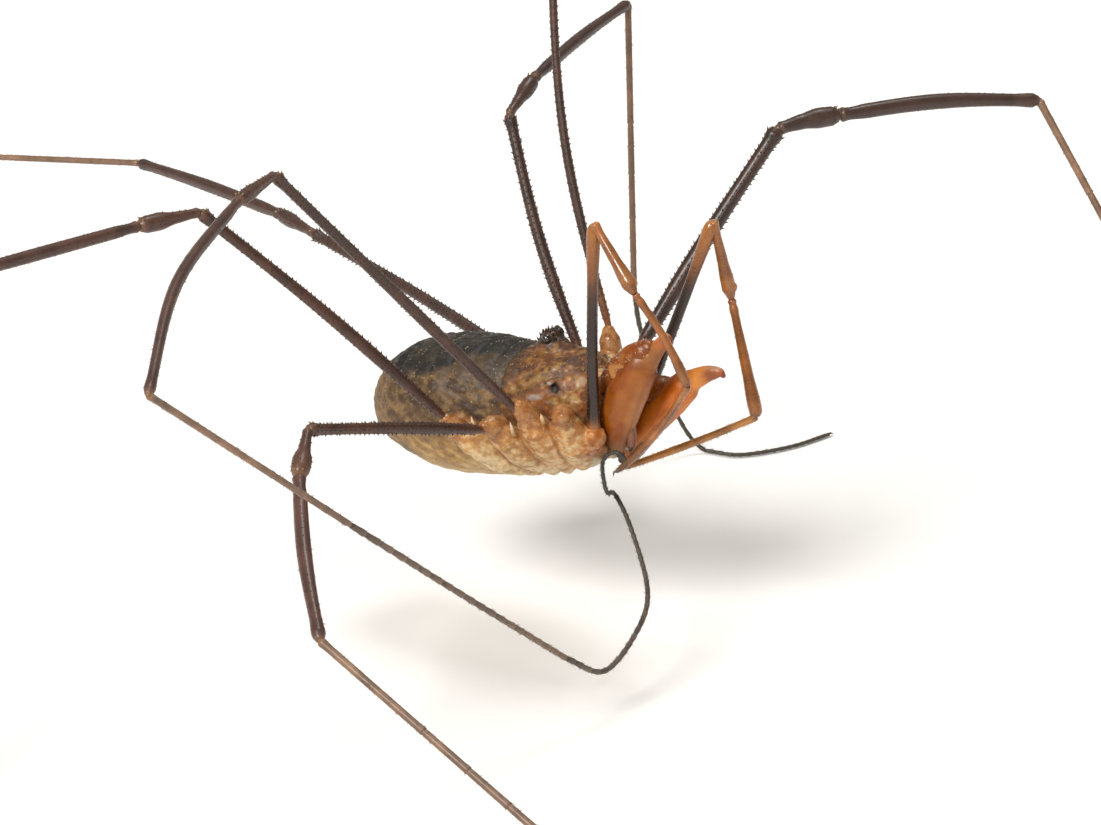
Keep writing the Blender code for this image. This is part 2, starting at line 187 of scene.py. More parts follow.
class Line:
    """A path by its length, with a frame carried along it."""

    def __init__(self, points, up=None):
        self.P = np.array(points, float)
        seg = np.linalg.norm(np.diff(self.P, axis=0), axis=1)
        self.S = np.concatenate([[0], np.cumsum(seg)])
        self.length = float(self.S[-1])
        self.up0 = np.array([0.0, 0.0, 1.0]) if up is None else up

    def at(self, s):
        s = np.atleast_1d(s)
        return np.stack([np.interp(s, self.S, self.P[:, k])
                         for k in range(3)], axis=1)

    def frames(self, s):
        """Position, direction, up and side at each length."""
        h = min(0.06, self.length * 0.02)
        a = self.at(np.clip(s - h, 0, self.length))
        b = self.at(np.clip(s + h, 0, self.length))
        T = b - a
        T = T / np.linalg.norm(T, axis=1)[:, None]
        up = self.up0
        if abs(T[0] @ unit(up)) > 0.97:
            up = up + np.array([0.31, 0.17, 0.0])
        ups = np.zeros_like(T)
        for i in range(len(T)):
            up = unit(up - T[i] * (up @ T[i]))
            ups[i] = up
        return self.at(s), T, ups, np.cross(T, ups)


class Piece:
    """Collects closed shells with a colour for each corner."""

    def __init__(self):
        self.V, self.C, self.F, self.n = [], [], [], 0

    def add(self, V, F, C):
        V = np.asarray(V, float)
        C = np.asarray(C, float)
        if C.ndim == 1:
            C = np.repeat(C[None, :], len(V), axis=0)
        self.V.append(V)
        self.C.append(C)
        self.F.extend([tuple(k + self.n for k in f) for f in F])
        self.n += len(V)

    def tube(self, line, stations, radii, colours, sides=14, squash=1.0):
        """Closed tube. radii and colours are given for each station."""
        s = np.asarray(stations, float)
        P, T, U, W = line.frames(s)
        radii = np.asarray(radii, float)
        colours = np.asarray(colours, float)
        if colours.ndim == 1:
            colours = np.repeat(colours[None, :], len(s), axis=0)
        ang = 2 * np.pi * np.arange(sides) / sides
        ring = (U[:, None, :] * np.cos(ang)[None, :, None]
                + W[:, None, :] * np.sin(ang)[None, :, None] * squash)
        V = P[:, None, :] + ring * radii[:, None, None]
        n = len(s)
        V = np.concatenate([V.reshape(-1, 3), P[:1] - T[:1] * 0.0,
                            P[-1:]])
        C = np.concatenate([np.repeat(colours, sides, axis=0),
                            colours[:1], colours[-1:]])
        F = []
        for i in range(n - 1):
            for k in range(sides):
                a = i * sides + k
                b = i * sides + (k + 1) % sides
                F.append((a, b, b + sides, a + sides))
        for k in range(sides):
            F.append((n * sides, (k + 1) % sides, k))
            a = (n - 1) * sides
            F.append((n * sides + 1, a + k, a + (k + 1) % sides))
        self.add(V, F, C)

    def cone(self, base, direction, height, radius, colour, tip=None,
             sides=5, bend=None):
        d = unit(direction)
        side = unit(np.cross(d, [0.37, 0.61, 0.70]))
        other = np.cross(d, side)
        ang = 2 * np.pi * np.arange(sides) / sides
        circle = (side[None, :] * np.cos(ang)[:, None]
                  + other[None, :] * np.sin(ang)[:, None])
        base = np.asarray(base, float)
        bend = np.zeros(3) if bend is None else bend
        V = np.concatenate([
            base + circle * radius,
            base + d * height * 0.45 + circle * radius * 0.62 + bend * 0.3,
            [base + d * height + bend], [base]])
        F = []
        for k in range(sides):
            m = (k + 1) % sides
            F.append((k, m, m + sides, k + sides))
            F.append((k + sides, m + sides, 2 * sides))
            F.append((2 * sides + 1, m, k))
        colour = np.asarray(colour, float)
        tip = colour if tip is None else np.asarray(tip, float)
        C = np.concatenate([np.repeat(colour[None], sides, 0),
                            np.repeat(mix(colour, tip, 0.5)[None], sides, 0),
                            [tip], [colour]])
        self.add(V, F, C)

    def dome(self, centre, axis, radius, height, colour, sides=7):
        """Low closed bump."""
        d = unit(axis)
        side = unit(np.cross(d, [0.37, 0.61, 0.70]))
        other = np.cross(d, side)
        ang = 2 * np.pi * np.arange(sides) / sides
        circle = (side[None, :] * np.cos(ang)[:, None]
                  + other[None, :] * np.sin(ang)[:, None])
        c = np.asarray(centre, float)
        V = np.concatenate([c - d * height * 0.5 + circle * radius,
                            c + d * height * 0.55 + circle * radius * 0.72,
                            [c + d * height], [c - d * height * 0.6]])
        F = []
        for k in range(sides):
            m = (k + 1) % sides
            F.append((k, m, m + sides, k + sides))
            F.append((k + sides, m + sides, 2 * sides))
            F.append((2 * sides + 1, m, k))
        self.add(V, F, colour)

    def build(self, name, material, replaces=(), slot=None, smooth=True,
              body_frame=False):
        V = np.concatenate(self.V)
        C = np.concatenate(self.C)
        if body_frame:
            V = out(V)
        V[:, 2] = np.maximum(V[:, 2], 0.004)
        return make_object(name, V, self.F, C, material, replaces,
                           smooth)


def make_object(name, V, F, C, material, replaces=(),
                smooth=True):
    """V in mm in the frame of the floor, C in 0-255 screen colours."""
    mesh = bpy.data.meshes.new(name)
    mesh.from_pydata([tuple(v) for v in (V * MM)], [], [tuple(f) for f in F])
    mesh.validate()
    tone = mesh.attributes.new("tone", 'FLOAT_COLOR', 'POINT')
    rgba = np.ones((len(mesh.vertices), 4), np.float32)
    rgba[:, :3] = srgb(C[:len(mesh.vertices)]) * EXPOSED
    tone.data.foreach_set("color", rgba.ravel())
    if smooth:
        mesh.shade_smooth()
    mesh.materials.append(material)
    ob = bpy.data.objects.new(name, mesh)
    bpy.context.scene.collection.objects.link(ob)
    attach(ob, "root")
    if replaces:
        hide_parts(*replaces)
    return ob


def shell_tube(points, radii, steps=8, sides=32, squash=1.0, up=None,
               rounded=True):
    """Vertices and faces of a closed tube for a later union."""
    path = catmull(points, steps)
    line = Line(path, up)
    share = np.linspace(0, 1, len(path))
    r = np.interp(share, np.linspace(0, 1, len(radii)), radii)
    s = line.S.copy()
    if rounded:
        first, last = r[0], r[-1]
        cap = np.linspace(0, np.pi / 2, 6)[:-1]
        P, T, U, W = line.frames(s)
        heads = [P[0] - T[0] * first * math.cos(a) for a in cap]
        tails = [P[-1] + T[-1] * last * math.cos(a) for a in cap[::-1]]
        pts = heads + list(P) + tails
        r = np.concatenate([[max(first * math.sin(a), first * 0.08)
                             for a in cap], r,
                            [max(last * math.sin(a), last * 0.08)
                             for a in cap[::-1]]])
        line = Line(pts, up)
        s = line.S.copy()
    p = Piece()
    p.tube(line, s, r, np.zeros(3), sides, squash)
    return p.V[0], p.F


def shell_ball(centre, radii, rows=12, sides=20, turn=None):
    V, F = [], []
    for i in range(1, rows):
        a = np.pi * i / rows
        for k in range(sides):
            b = 2 * np.pi * k / sides
            V.append((math.sin(a) * math.cos(b), math.sin(a) * math.sin(b),
                      math.cos(a)))
    top, low = len(V), len(V) + 1
    V += [(0, 0, 1), (0, 0, -1)]
    for i in range(rows - 2):
        for k in range(sides):
            a = i * sides + k
            b = i * sides + (k + 1) % sides
            F.append((a, a + sides, b + sides, b))
    for k in range(sides):
        F.append((top, k, (k + 1) % sides))
        a = (rows - 2) * sides
        F.append((low, a + (k + 1) % sides, a + k))
    V = np.array(V) * np.asarray(radii, float)
    if turn is not None:
        V = V @ np.asarray(turn, float).T
    return V + np.asarray(centre, float), F


def union(shells, voxel, smooth=4):
    """One closed skin round overlapping shells: corners, quads, normals."""
    V, F, n = [], [], 0
    for v, f in shells:
        V.append(np.asarray(v))
        F += [tuple(k + n for k in q) for q in f]
        n += len(v)
    V = np.concatenate(V)
    mesh = bpy.data.meshes.new("union")
    mesh.from_pydata([tuple(v) for v in V], [], F)
    ob = bpy.data.objects.new("union", mesh)
    bpy.context.scene.collection.objects.link(ob)
    mod = ob.modifiers.new("skin", 'REMESH')
    mod.mode = 'VOXEL'
    mod.voxel_size = voxel
    bpy.context.view_layer.update()
    deps = bpy.context.evaluated_depsgraph_get()
    done = bpy.data.meshes.new_from_object(ob.evaluated_get(deps))
    bpy.data.objects.remove(ob)
    bpy.data.meshes.remove(mesh)
    V = np.empty(len(done.vertices) * 3)
    done.vertices.foreach_get("co", V)
    V = V.reshape(-1, 3)
    loops = np.empty(len(done.loops), np.int64)
    done.loops.foreach_get("vertex_index", loops)
    counts = np.empty(len(done.polygons), np.int64)
    done.polygons.foreach_get("loop_total", counts)
    bpy.data.meshes.remove(done)
    assert (counts == 4).all()
    F = loops.reshape(-1, 4)
    V = relax(V, F, smooth)
    return V, F


def pairs(F):
    E = np.concatenate([F[:, [0, 1]], F[:, [1, 2]], F[:, [2, 3]],
                        F[:, [3, 0]]])
    E = np.sort(E, axis=1)
    return np.unique(E, axis=0)


def relax(V, F, rounds, keep=True, weight=None):
    """Evens out a skin without shrinking it."""
    E = pairs(F)
    count = np.bincount(E.ravel(), minlength=len(V)).astype(float)
    count = np.maximum(count, 1)
    for i in range(rounds):
        for amount in ((0.55, -0.57) if keep else (0.5,)):
            total = np.zeros_like(V)
            for k in range(3):
                total[:, k] = (np.bincount(E[:, 0], V[E[:, 1], k], len(V))
                               + np.bincount(E[:, 1], V[E[:, 0], k],
                                             len(V)))
            move = (total / count[:, None] - V) * amount
            if weight is not None:
                move = move * weight[:, None]
            V = V + move
    return V


def normals(V, F):
    a, b, c, d = (V[F[:, k]] for k in range(4))
    n = np.cross(c - a, d - b)
    N = np.zeros_like(V)
    for k in range(4):
        for m in range(3):
            N[:, m] += np.bincount(F[:, k], n[:, m], len(V))
    return N / (np.linalg.norm(N, axis=1)[:, None] + 1e-12)


# ------------------------------------------------------------ materials
def material(name, grain=0.03, bump=0.004, vary=0.20, rough=(0.30, 0.55),
             coat=0.0, coat_rough=0.1, patch=0.25, subsurface=0.0,
             level=0.5, wet=False, depth=0.12):
    """Chitin: the corner colours, broken up by patches and grain, with a
    fine relief. Sizes are in mm."""
    mat = bpy.data.materials.new(name)
    mat.use_nodes = True
    nt = mat.node_tree
    nodes, links = nt.nodes, nt.links
    shader = nodes["Principled BSDF"]
    tone = nodes.new('ShaderNodeAttribute')
    tone.attribute_name = "tone"
    where = nodes.new('ShaderNodeTexCoord')
    place = nodes.new('ShaderNodeMapping')
    place.inputs["Scale"].default_value = (1000, 1000, 1000)
    links.new(where.outputs["Object"], place.inputs["Vector"])

    def cloud(size, detail, rough_value=0.55):
        n = nodes.new('ShaderNodeTexNoise')
        n.inputs["Scale"].default_value = 1.0 / size
        n.inputs["Detail"].default_value = detail
        n.inputs["Roughness"].default_value = rough_value
        links.new(place.outputs["Vector"], n.inputs["Vector"])
        return n

    big = cloud(patch, 3.0)
    fine = cloud(grain, 4.0, 0.6)
    pits = nodes.new('ShaderNodeTexVoronoi')
    pits.inputs["Scale"].default_value = 1.0 / (grain * 1.6)
    links.new(place.outputs["Vector"], pits.inputs["Vector"])

    ramp = nodes.new('ShaderNodeMapRange')
    ramp.inputs["From Min"].default_value = 0.25
    ramp.inputs["From Max"].default_value = 0.75
    ramp.inputs["To Min"].default_value = 1.0 - vary
    ramp.inputs["To Max"].default_value = 1.0 + vary
    links.new(big.outputs["Fac"], ramp.inputs["Value"])
    ramp2 = nodes.new('ShaderNodeMapRange')
    ramp2.inputs["From Min"].default_value = 0.3
    ramp2.inputs["From Max"].default_value = 0.7
    ramp2.inputs["To Min"].default_value = 1.0 - vary * 0.7
    ramp2.inputs["To Max"].default_value = 1.0 + vary * 0.7
    links.new(fine.outputs["Fac"], ramp2.inputs["Value"])
    times = nodes.new('ShaderNodeMath')
    times.operation = 'MULTIPLY'
    links.new(ramp.outputs["Result"], times.inputs[0])
    links.new(ramp2.outputs["Result"], times.inputs[1])
    scale = nodes.new('ShaderNodeVectorMath')
    scale.operation = 'SCALE'
    links.new(tone.outputs["Color"], scale.inputs[0])
    links.new(times.outputs["Value"], scale.inputs["Scale"])
    links.new(scale.outputs["Vector"], shader.inputs["Base Color"])

    shine = nodes.new('ShaderNodeMapRange')
    shine.inputs["From Min"].default_value = 0.3
    shine.inputs["From Max"].default_value = 0.7
    shine.inputs["To Min"].default_value = rough[0]
    shine.inputs["To Max"].default_value = rough[1]
    links.new(fine.outputs["Fac"], shine.inputs["Value"])
    if wet:
        damp = nodes.new('ShaderNodeAttribute')
        damp.attribute_name = "wet"
        less = nodes.new('ShaderNodeMath')
        less.operation = 'MULTIPLY_ADD'
        less.inputs[1].default_value = -0.36
        links.new(damp.outputs["Fac"], less.inputs[0])
        links.new(shine.outputs["Result"], less.inputs[2])
        floor = nodes.new('ShaderNodeMath')
        floor.operation = 'MAXIMUM'
        floor.inputs[1].default_value = 0.10
        links.new(less.outputs["Value"], floor.inputs[0])
        links.new(floor.outputs["Value"], shader.inputs["Roughness"])
    else:
        links.new(shine.outputs["Result"], shader.inputs["Roughness"])

    relief = nodes.new('ShaderNodeMath')
    relief.operation = 'MULTIPLY_ADD'
    links.new(pits.outputs["Distance"], relief.inputs[0])
    relief.inputs[1].default_value = 0.5
    links.new(fine.outputs["Fac"], relief.inputs[2])
    height = nodes.new('ShaderNodeBump')
    height.inputs["Strength"].default_value = 0.8
    height.inputs["Distance"].default_value = bump * MM
    links.new(relief.outputs["Value"], height.inputs["Height"])
    links.new(height.outputs["Normal"], shader.inputs["Normal"])
    shader.inputs["IOR"].default_value = 1.52
    shader.inputs["Specular IOR Level"].default_value = level
    if coat:
        shader.inputs["Coat Weight"].default_value = coat
        shader.inputs["Coat Roughness"].default_value = coat_rough
    if subsurface:
        shader.inputs["Subsurface Weight"].default_value = subsurface
        shader.inputs["Subsurface Scale"].default_value = depth * MM
        shader.inputs["Subsurface Radius"].default_value = (1.0, 0.5, 0.25)
    return mat


BODY_MAT = material("body_hide", grain=0.045, bump=0.006, vary=0.22,
                    rough=(0.42, 0.64), patch=0.30, subsurface=0.10,
                    level=0.38, wet=True)
EYE_MAT = material("eye_glass", grain=0.02, bump=0.0004, vary=0.30,
                   rough=(0.05, 0.12), coat=1.0, coat_rough=0.03,
                   patch=0.08)
JAW_MAT = material("jaw_horn", grain=0.06, bump=0.003, vary=0.12,
                   rough=(0.34, 0.50), coat=0.10, coat_rough=0.2,
                   patch=0.4, subsurface=0.35, level=0.38, depth=0.30)
PALP_MAT = material("palp_horn", grain=0.05, bump=0.003, vary=0.16,
                    rough=(0.22, 0.36), coat=0.35, coat_rough=0.10,
                    patch=0.3, level=0.4, subsurface=0.12)
LEG_MAT = material("leg_dark_horn", grain=0.04, bump=0.004, vary=0.20,
                   rough=(0.32, 0.50), coat=0.12, coat_rough=0.18,
                   patch=0.3, level=0.42)
TAN_MAT = material("leg_tan_horn", grain=0.04, bump=0.003, vary=0.18,
                   rough=(0.36, 0.55), coat=0.1, coat_rough=0.3, patch=0.3)
FOOT_MAT = material("foot_horn", grain=0.03, bump=0.003, vary=0.20,
                    rough=(0.42, 0.62), patch=0.2)

# ------------------------------------------------------------ body tables
BODY = np.array([
    (-3.16, 0.30, 0.34, -0.12), (-3.10, 0.68, 0.66, -0.40),
    (-2.92, 1.08, 1.02, -0.68), (-2.56, 1.42, 1.36, -0.98),
    (-2.06, 1.68, 1.62, -1.25), (-1.40, 1.86, 1.76, -1.48),
    (-0.60, 1.90, 1.80, -1.62), (0.10, 1.76, 1.77, -1.68),
    (0.70, 1.60, 1.68, -1.70), (1.10, 1.46, 1.60, -1.67),
    (1.60, 1.40, 1.56, -1.64), (2.20, 1.34, 1.50, -1.58),
    (2.75, 1.22, 1.42, -1.48), (3.20, 1.02, 1.28, -1.26),
    (3.45, 0.80, 1.12, -1.00), (3.56, 0.55, 0.94, -0.78)])
BODY_POWER = 2.3
TROCHANTER_RADIUS = 0.34
TROCHANTERS = {1: (3.15, -1.68, 0.30), 2: (2.35, -2.05, 0.45),
               3: (1.42, -2.15, 0.15), 4: (0.15, -2.02, 0.05)}
LEFT_RISE = {1: 0.35, 2: 0.50, 3: 0.15, 4: 0.10}
COXA_BASES = {1: (2.72, -0.55, -1.28), 2: (2.28, -0.55, -1.38),
              3: (1.84, -0.55, -1.42), 4: (1.38, -0.55, -1.44)}
COXA_FLANKS = {1: (3.00, -1.22, -0.66), 2: (2.34, -1.48, -0.58),
               3: (1.66, -1.58, -0.74), 4: (0.95, -1.58, -0.90)}
PALP_COXA = ((3.05, -0.62, -0.86), (3.58, -1.13, -0.42))


def mirror(p, side, rise=0.0):
    return np.array([p[0], -p[1] * side, p[2] + (rise if side > 0 else 0)])


def trochanter(number, side):
    return mirror(TROCHANTERS[number], side, LEFT_RISE[number])


def knob_axis(number, side):
    """Direction of the femur from its knob, body frame."""
    name = "%s_%d" % ("left" if side > 0 else "right", number)
    if name not in LEGS:
        return unit(np.array([0.55, side * 0.80, 0.15]))
    length, angle, elevation = LEGS[name][1][0][1][0]
    h = heading(1.0, angle, elevation)
    return np.array([h @ AX, h @ AY, h @ AZ])


def coxa_line(number, side):
    rise = LEFT_RISE[number]
    return [mirror(COXA_BASES[number], side, 0.0),
            mirror(COXA_FLANKS[number], side, rise * 0.5),
            trochanter(number, side)]


# ------------------------------------------------------------ body skin
def body_loft():
    xs = np.concatenate([np.linspace(-3.16, -2.9, 8)[:-1],
                         np.linspace(-2.9, 3.56, 90)])
    sides = 96
    a = 2 * np.pi * np.arange(sides) / sides
    c, s = np.cos(a), np.sin(a)
    cy = np.sign(c) * np.abs(c) ** (2 / BODY_POWER)
    cz = np.sign(s) * np.abs(s) ** (2 / BODY_POWER)
    V, rows = [], 0
    for x in xs:
        half, top, low = (np.interp(x, BODY[:, 0], BODY[:, k])
                          for k in (1, 2, 3))
        mid, high = (top + low) / 2, (top - low) / 2
        V.append(np.stack([np.full(sides, x), half * cy, mid + high * cz],
                          axis=1))
        rows += 1
    V.append(np.array([[xs[0] - 0.03, 0, 0.11], [xs[-1] + 0.02, 0, 0.08]]))
    V = np.concatenate(V)
    F = []
    for i in range(rows - 1):
        for k in range(sides):
            p, q = i * sides + k, i * sides + (k + 1) % sides
            F.append((p, q, q + sides, p + sides))
    n = rows * sides
    for k in range(sides):
        F.append((n, (k + 1) % sides, k))
        p = (rows - 1) * sides
        F.append((n + 1, p + k, p + (k + 1) % sides))
    return V, F


OC = dict(x=2.01, z=1.34, length=0.70, width=0.58, height=0.64)


def body_shells():
    shells = [body_loft()]
    for side in (-1, 1):
        for number in (1, 2, 3, 4):
            line = coxa_line(number, side)
            base, flank, end = line
            # broad flattened column, deeper in the body than its axis
            low = flank - (0.0, side * 0.17, -0.03)
            shells.append(shell_tube(
                [base + (0, side * 0.05, 0), low,
                 end + (flank - end) * 0.30],
                [0.22, 0.38, 0.47, 0.44, 0.37], sides=28,
                up=np.array([1.0, 0.0, 0.0]), squash=0.86))
            # a lumpy collar round the socket, and the knob in it
            shells.append(shell_ball(end + (flank - end) * 0.42,
                                     (0.38, 0.34, 0.36)))
            d = knob_axis(number, side)
            shells.append(shell_tube([end - d * 0.12, end + d * 0.14,
                                      end + d * 0.34],
                                     [0.29, 0.275, 0.17], sides=24))
            for a in (0.4, 3.6):
                o = unit(np.cross(d, (math.cos(a), 0.3, math.sin(a))))
                shells.append(shell_ball(end + o * 0.19 - d * 0.02,
                                         (0.11, 0.11, 0.11), 8, 12))
        p = [mirror(q, side) for q in PALP_COXA]
        shells.append(shell_tube([p[0], p[1]], [0.28, 0.30], sides=24))
        # knob that carries the palp
        shells.append(shell_tube([mirror((3.44, -1.00, -0.66), side),
                                  mirror((3.60, -1.14, -0.30), side)],
                                 [0.24, 0.25, 0.20], sides=22))
        shells.append(shell_ball(mirror((3.68, -1.22, -0.56), side),
                                 (0.12, 0.12, 0.16), 8, 12))
        # lobes beside the mouth
        shells.append(shell_ball(mirror((3.40, -0.66, -0.90), side),
                                 (0.24, 0.24, 0.26), 10, 16))
        shells.append(shell_ball(mirror((3.52, -0.34, -1.05), side),
                                 (0.17, 0.16, 0.20), 10, 16))
        shells.append(shell_tube([mirror((2.9, -0.42, -1.25), side),
                                  mirror((3.36, -0.36, -1.12), side)],
                                 [0.20, 0.13], sides=20))
        # plates over the jaw bases
        shells.append(shell_ball(mirror((3.50, -0.32, 0.93), side),
                                 (0.20, 0.25, 0.10)))
        # lid of the scent gland
        shells.append(shell_ball(mirror((2.52, -1.06, 0.93), side),
                                 (0.16, 0.10, 0.10)))
        # rim round each eye
        c = mirror((EYE_AT[0], -EYE_AT[1] + 0.035, EYE_AT[2]), side)
        ring = [c + np.array([math.cos(a), 0, math.sin(a)]) * 0.145
                for a in np.linspace(0, 2 * np.pi, 17)]
        shells.append(shell_tube(ring, [0.045, 0.045], steps=2, sides=10))
    # eye hill
    o = OC
    V, F, sides = [], [], 32
    for i in range(12):
        f = i / 11
        w = math.cos(f * math.pi / 2 * 0.95) ** 0.5
        for k in range(sides):
            a = 2 * math.pi * k / sides
            V.append((o["x"] + o["length"] / 2 * w * math.cos(a),
                      o["width"] / 2 * w * math.sin(a),
                      o["z"] - 0.12 + (o["height"] + 0.1)
                      * math.sin(f * math.pi / 2)))
    n = len(V)
    V += [(o["x"], 0, o["z"] - 0.12), (o["x"], 0, o["z"] + o["height"]
                                       - 0.015)]
    for i in range(11):
        for k in range(sides):
            p, q = i * sides + k, i * sides + (k + 1) % sides
            F.append((p, q, q + sides, p + sides))
    for k in range(sides):
        F.append((n, (k + 1) % sides, k))
        p = 11 * sides
        F.append((n + 1, p + k, p + (k + 1) % sides))
    shells.append((np.array(V), F))
    shells.append(shell_tube([(1.74, 0, 1.34), (2.04, 0, 1.46),
                              (2.40, 0, 1.30)], [0.34, 0.43, 0.32],
                             sides=28, up=np.array([0.0, 0.0, 1.0])))
    # anal lid
    shells.append(shell_ball((-3.02, 0, -0.05), (0.20, 0.34, 0.22)))
    return shells


TERGITES = (-2.72, -2.30, -1.84, -1.34, -0.80, -0.24, 0.34, 0.86)


def limb_fields(V):
    """Distance to each coxa's axis, nearest and second nearest."""
    fields = []
    for side in (-1, 1):
        for number in (1, 2, 3, 4):
            d, t = to_line(V, coxa_line(number, side))
            fields.append(d - np.interp(t, [0, 0.5, 1], [0.20, 0.36, 0.30]))
    fields = np.array(fields)
    order = np.sort(fields, axis=0)
    which = np.argmin(fields, axis=0)
    return order[0], order[1], which


def knob_field(V):
    best = np.full(len(V), 9.0)
    for side in (-1, 1):
        for number in (1, 2, 3, 4):
            c = trochanter(number, side)
            a = knob_axis(number, side)
            d, t = to_line(V, [c - a * 0.10, c + a * 0.16, c + a * 0.34])
            best = np.minimum(best, d - 0.29)
    return best


def hide_slant(V):
    """Space turned and stretched along the creases of the flanks."""
    c, s = math.cos(0.62), math.sin(0.62)
    along = V[:, 0] * c - V[:, 2] * s
    across = V[:, 0] * s + V[:, 2] * c
    return np.stack([along * 0.62, V[:, 1], across * 1.25], axis=1)


def body_relief(V, N):
    """How far each corner moves out along its normal, in mm."""
    x, y, z = V.T
    s = np.abs(y)
    near, second, which = limb_fields(V)
    knob = knob_field(V)
    hill = np.linalg.norm((V - (OC["x"], 0, 1.72)) / (0.36, 0.32, 0.34),
                          axis=1)
    off_limb = step(0.02, 0.22, near) * step(0.02, 0.2, knob)
    on_hill = 1 - step(0.95, 1.25, hill)
    abdomen = 1 - step(0.95, 1.25, x)
    move = np.zeros(len(V))
    warp = fbm(V, 0.9, 2, 5) * 0.10
    # bands across the back
    back = step(0.7, 1.3, z)
    for i, at in enumerate(TERGITES):
        g = np.exp(-((x + warp - at - 0.10 * (s / 1.9) ** 2) / 0.045) ** 2)
        move -= 0.020 * g * back * step(-3.2, -2.4, x + 0.4)
        h = np.exp(-((x + warp - at + 0.16) / 0.13) ** 2)
        move += 0.014 * h * back * abdomen
    # the groove between abdomen and carapace, and along the carapace
    g = np.exp(-((x + 0.5 * warp - 1.30 + 0.10 * s) / 0.05) ** 2)
    move -= 0.035 * g * step(0.3, 1.0, z)
    g = np.exp(-((x + 0.5 * warp - 1.66 + 0.08 * s) / 0.05) ** 2)
    move -= 0.022 * g * step(0.6, 1.1, z)
    for side in (-1, 1):
        ridge, _ = to_line(V, [(1.45, side * 1.30, 0.80),
                               (2.10, side * 1.10, 1.02),
                               (2.75, side * 0.62, 1.30)])
        move += 0.034 * np.exp(-(ridge / 0.10) ** 2)
        under, _ = to_line(V, [(1.45, side * 1.36, 0.62),
                               (2.10, side * 1.24, 0.84),
                               (2.80, side * 0.86, 1.10)])
        move -= 0.035 * np.exp(-(under / 0.09) ** 2)
        hole = np.linalg.norm((V - (2.65, side * 1.09, 0.78))
                              / (0.10, 0.13, 0.13), axis=1)
        move -= 0.055 * (1 - step(0.4, 1.25, hole))
    # wrinkled hide on the back and flanks
    flank = off_limb * (1 - on_hill)
    slant = hide_slant(V)
    move += 0.018 * fbm(slant, 0.30, 3, 21) * flank
    move -= 0.030 * (ridged(slant, 0.24, 3, 23) - 0.42) \
        * flank * step(-1.25, -0.3, z)
    move += 0.014 * fbm(V, 0.09, 2, 25) * flank
    # slanting folds low on the sides
    low = (1 - step(-0.25, 0.35, z + 0.3 * x)) * step(-2.6, -1.9, x) \
        * (1 - step(1.0, 1.5, x)) * off_limb
    low = low * step(-1.75, -1.1, x) * step(-1.62, -1.2, z)
    bend = z * 1.0 + 0.80 * x + 0.20 * fbm(V, 0.6, 2, 27)
    patchy = step(-0.5, 0.3, fbm(V, 0.5, 2, 28))
    move += 0.012 * np.sin(bend * 2 * np.pi / 0.33) * low * patchy
    move += 0.005 * np.sin(bend * 2 * np.pi / 0.115 + 2.0 * warp / 0.1) \
        * low
    # soft rear underside sits a little higher
    move -= 0.07 * (1 - step(-0.9, -0.1, z)) * (1 - step(-2.2, -0.9, x))
    move -= 0.03 * step(1.3, 1.6, z) * step(-1.0, -0.2, x) \
        * (1 - step(1.2, 1.5, x))
    # plates across the belly
    belly = 1 - step(-1.45, -1.0, z)
    for at in (-2.3, -1.8, -1.3, -0.8, -0.3, 0.2):
        g = np.exp(-((x + 0.7 * warp - at) / 0.05) ** 2)
        move -= 0.025 * g * belly
    # seams between the coxae, soft swelling along each
    seam = np.exp(-((second - near) / 0.075) ** 2) \
        * (1 - step(0.10, 0.30, near)) * (1 - step(0.9, 1.4, z))
    move -= 0.016 * seam
    on_coxa = (1 - step(0.02, 0.2, near)) * step(0.0, 0.12, knob)
    move += 0.014 * fbm(V, 0.16, 2, 31) * on_coxa
    # joint line round each knob
    move -= 0.012 * np.exp(-((knob - 0.02) / 0.035) ** 2) \
        * (1 - step(0.1, 0.2, np.abs(near)))
    move += 0.006 * fbm(V, 0.08, 2, 33) * (1 - step(0.0, 0.05, knob))
    # rough eye hill
    move += 0.018 * fbm(V, 0.07, 2, 35) * on_hill * step(1.72, 1.9, z)
    return move


OLIVE, DUN, TAN = (106, 83, 58), (128, 100, 68), (158, 126, 84)
SOOT, INK = (40, 36, 31), (24, 25, 25)
CREAM, STRAW = (234, 204, 158), (204, 166, 106)
RUST, AMBER = (104, 64, 38), (156, 96, 50)
UMBER = (84, 60, 40)


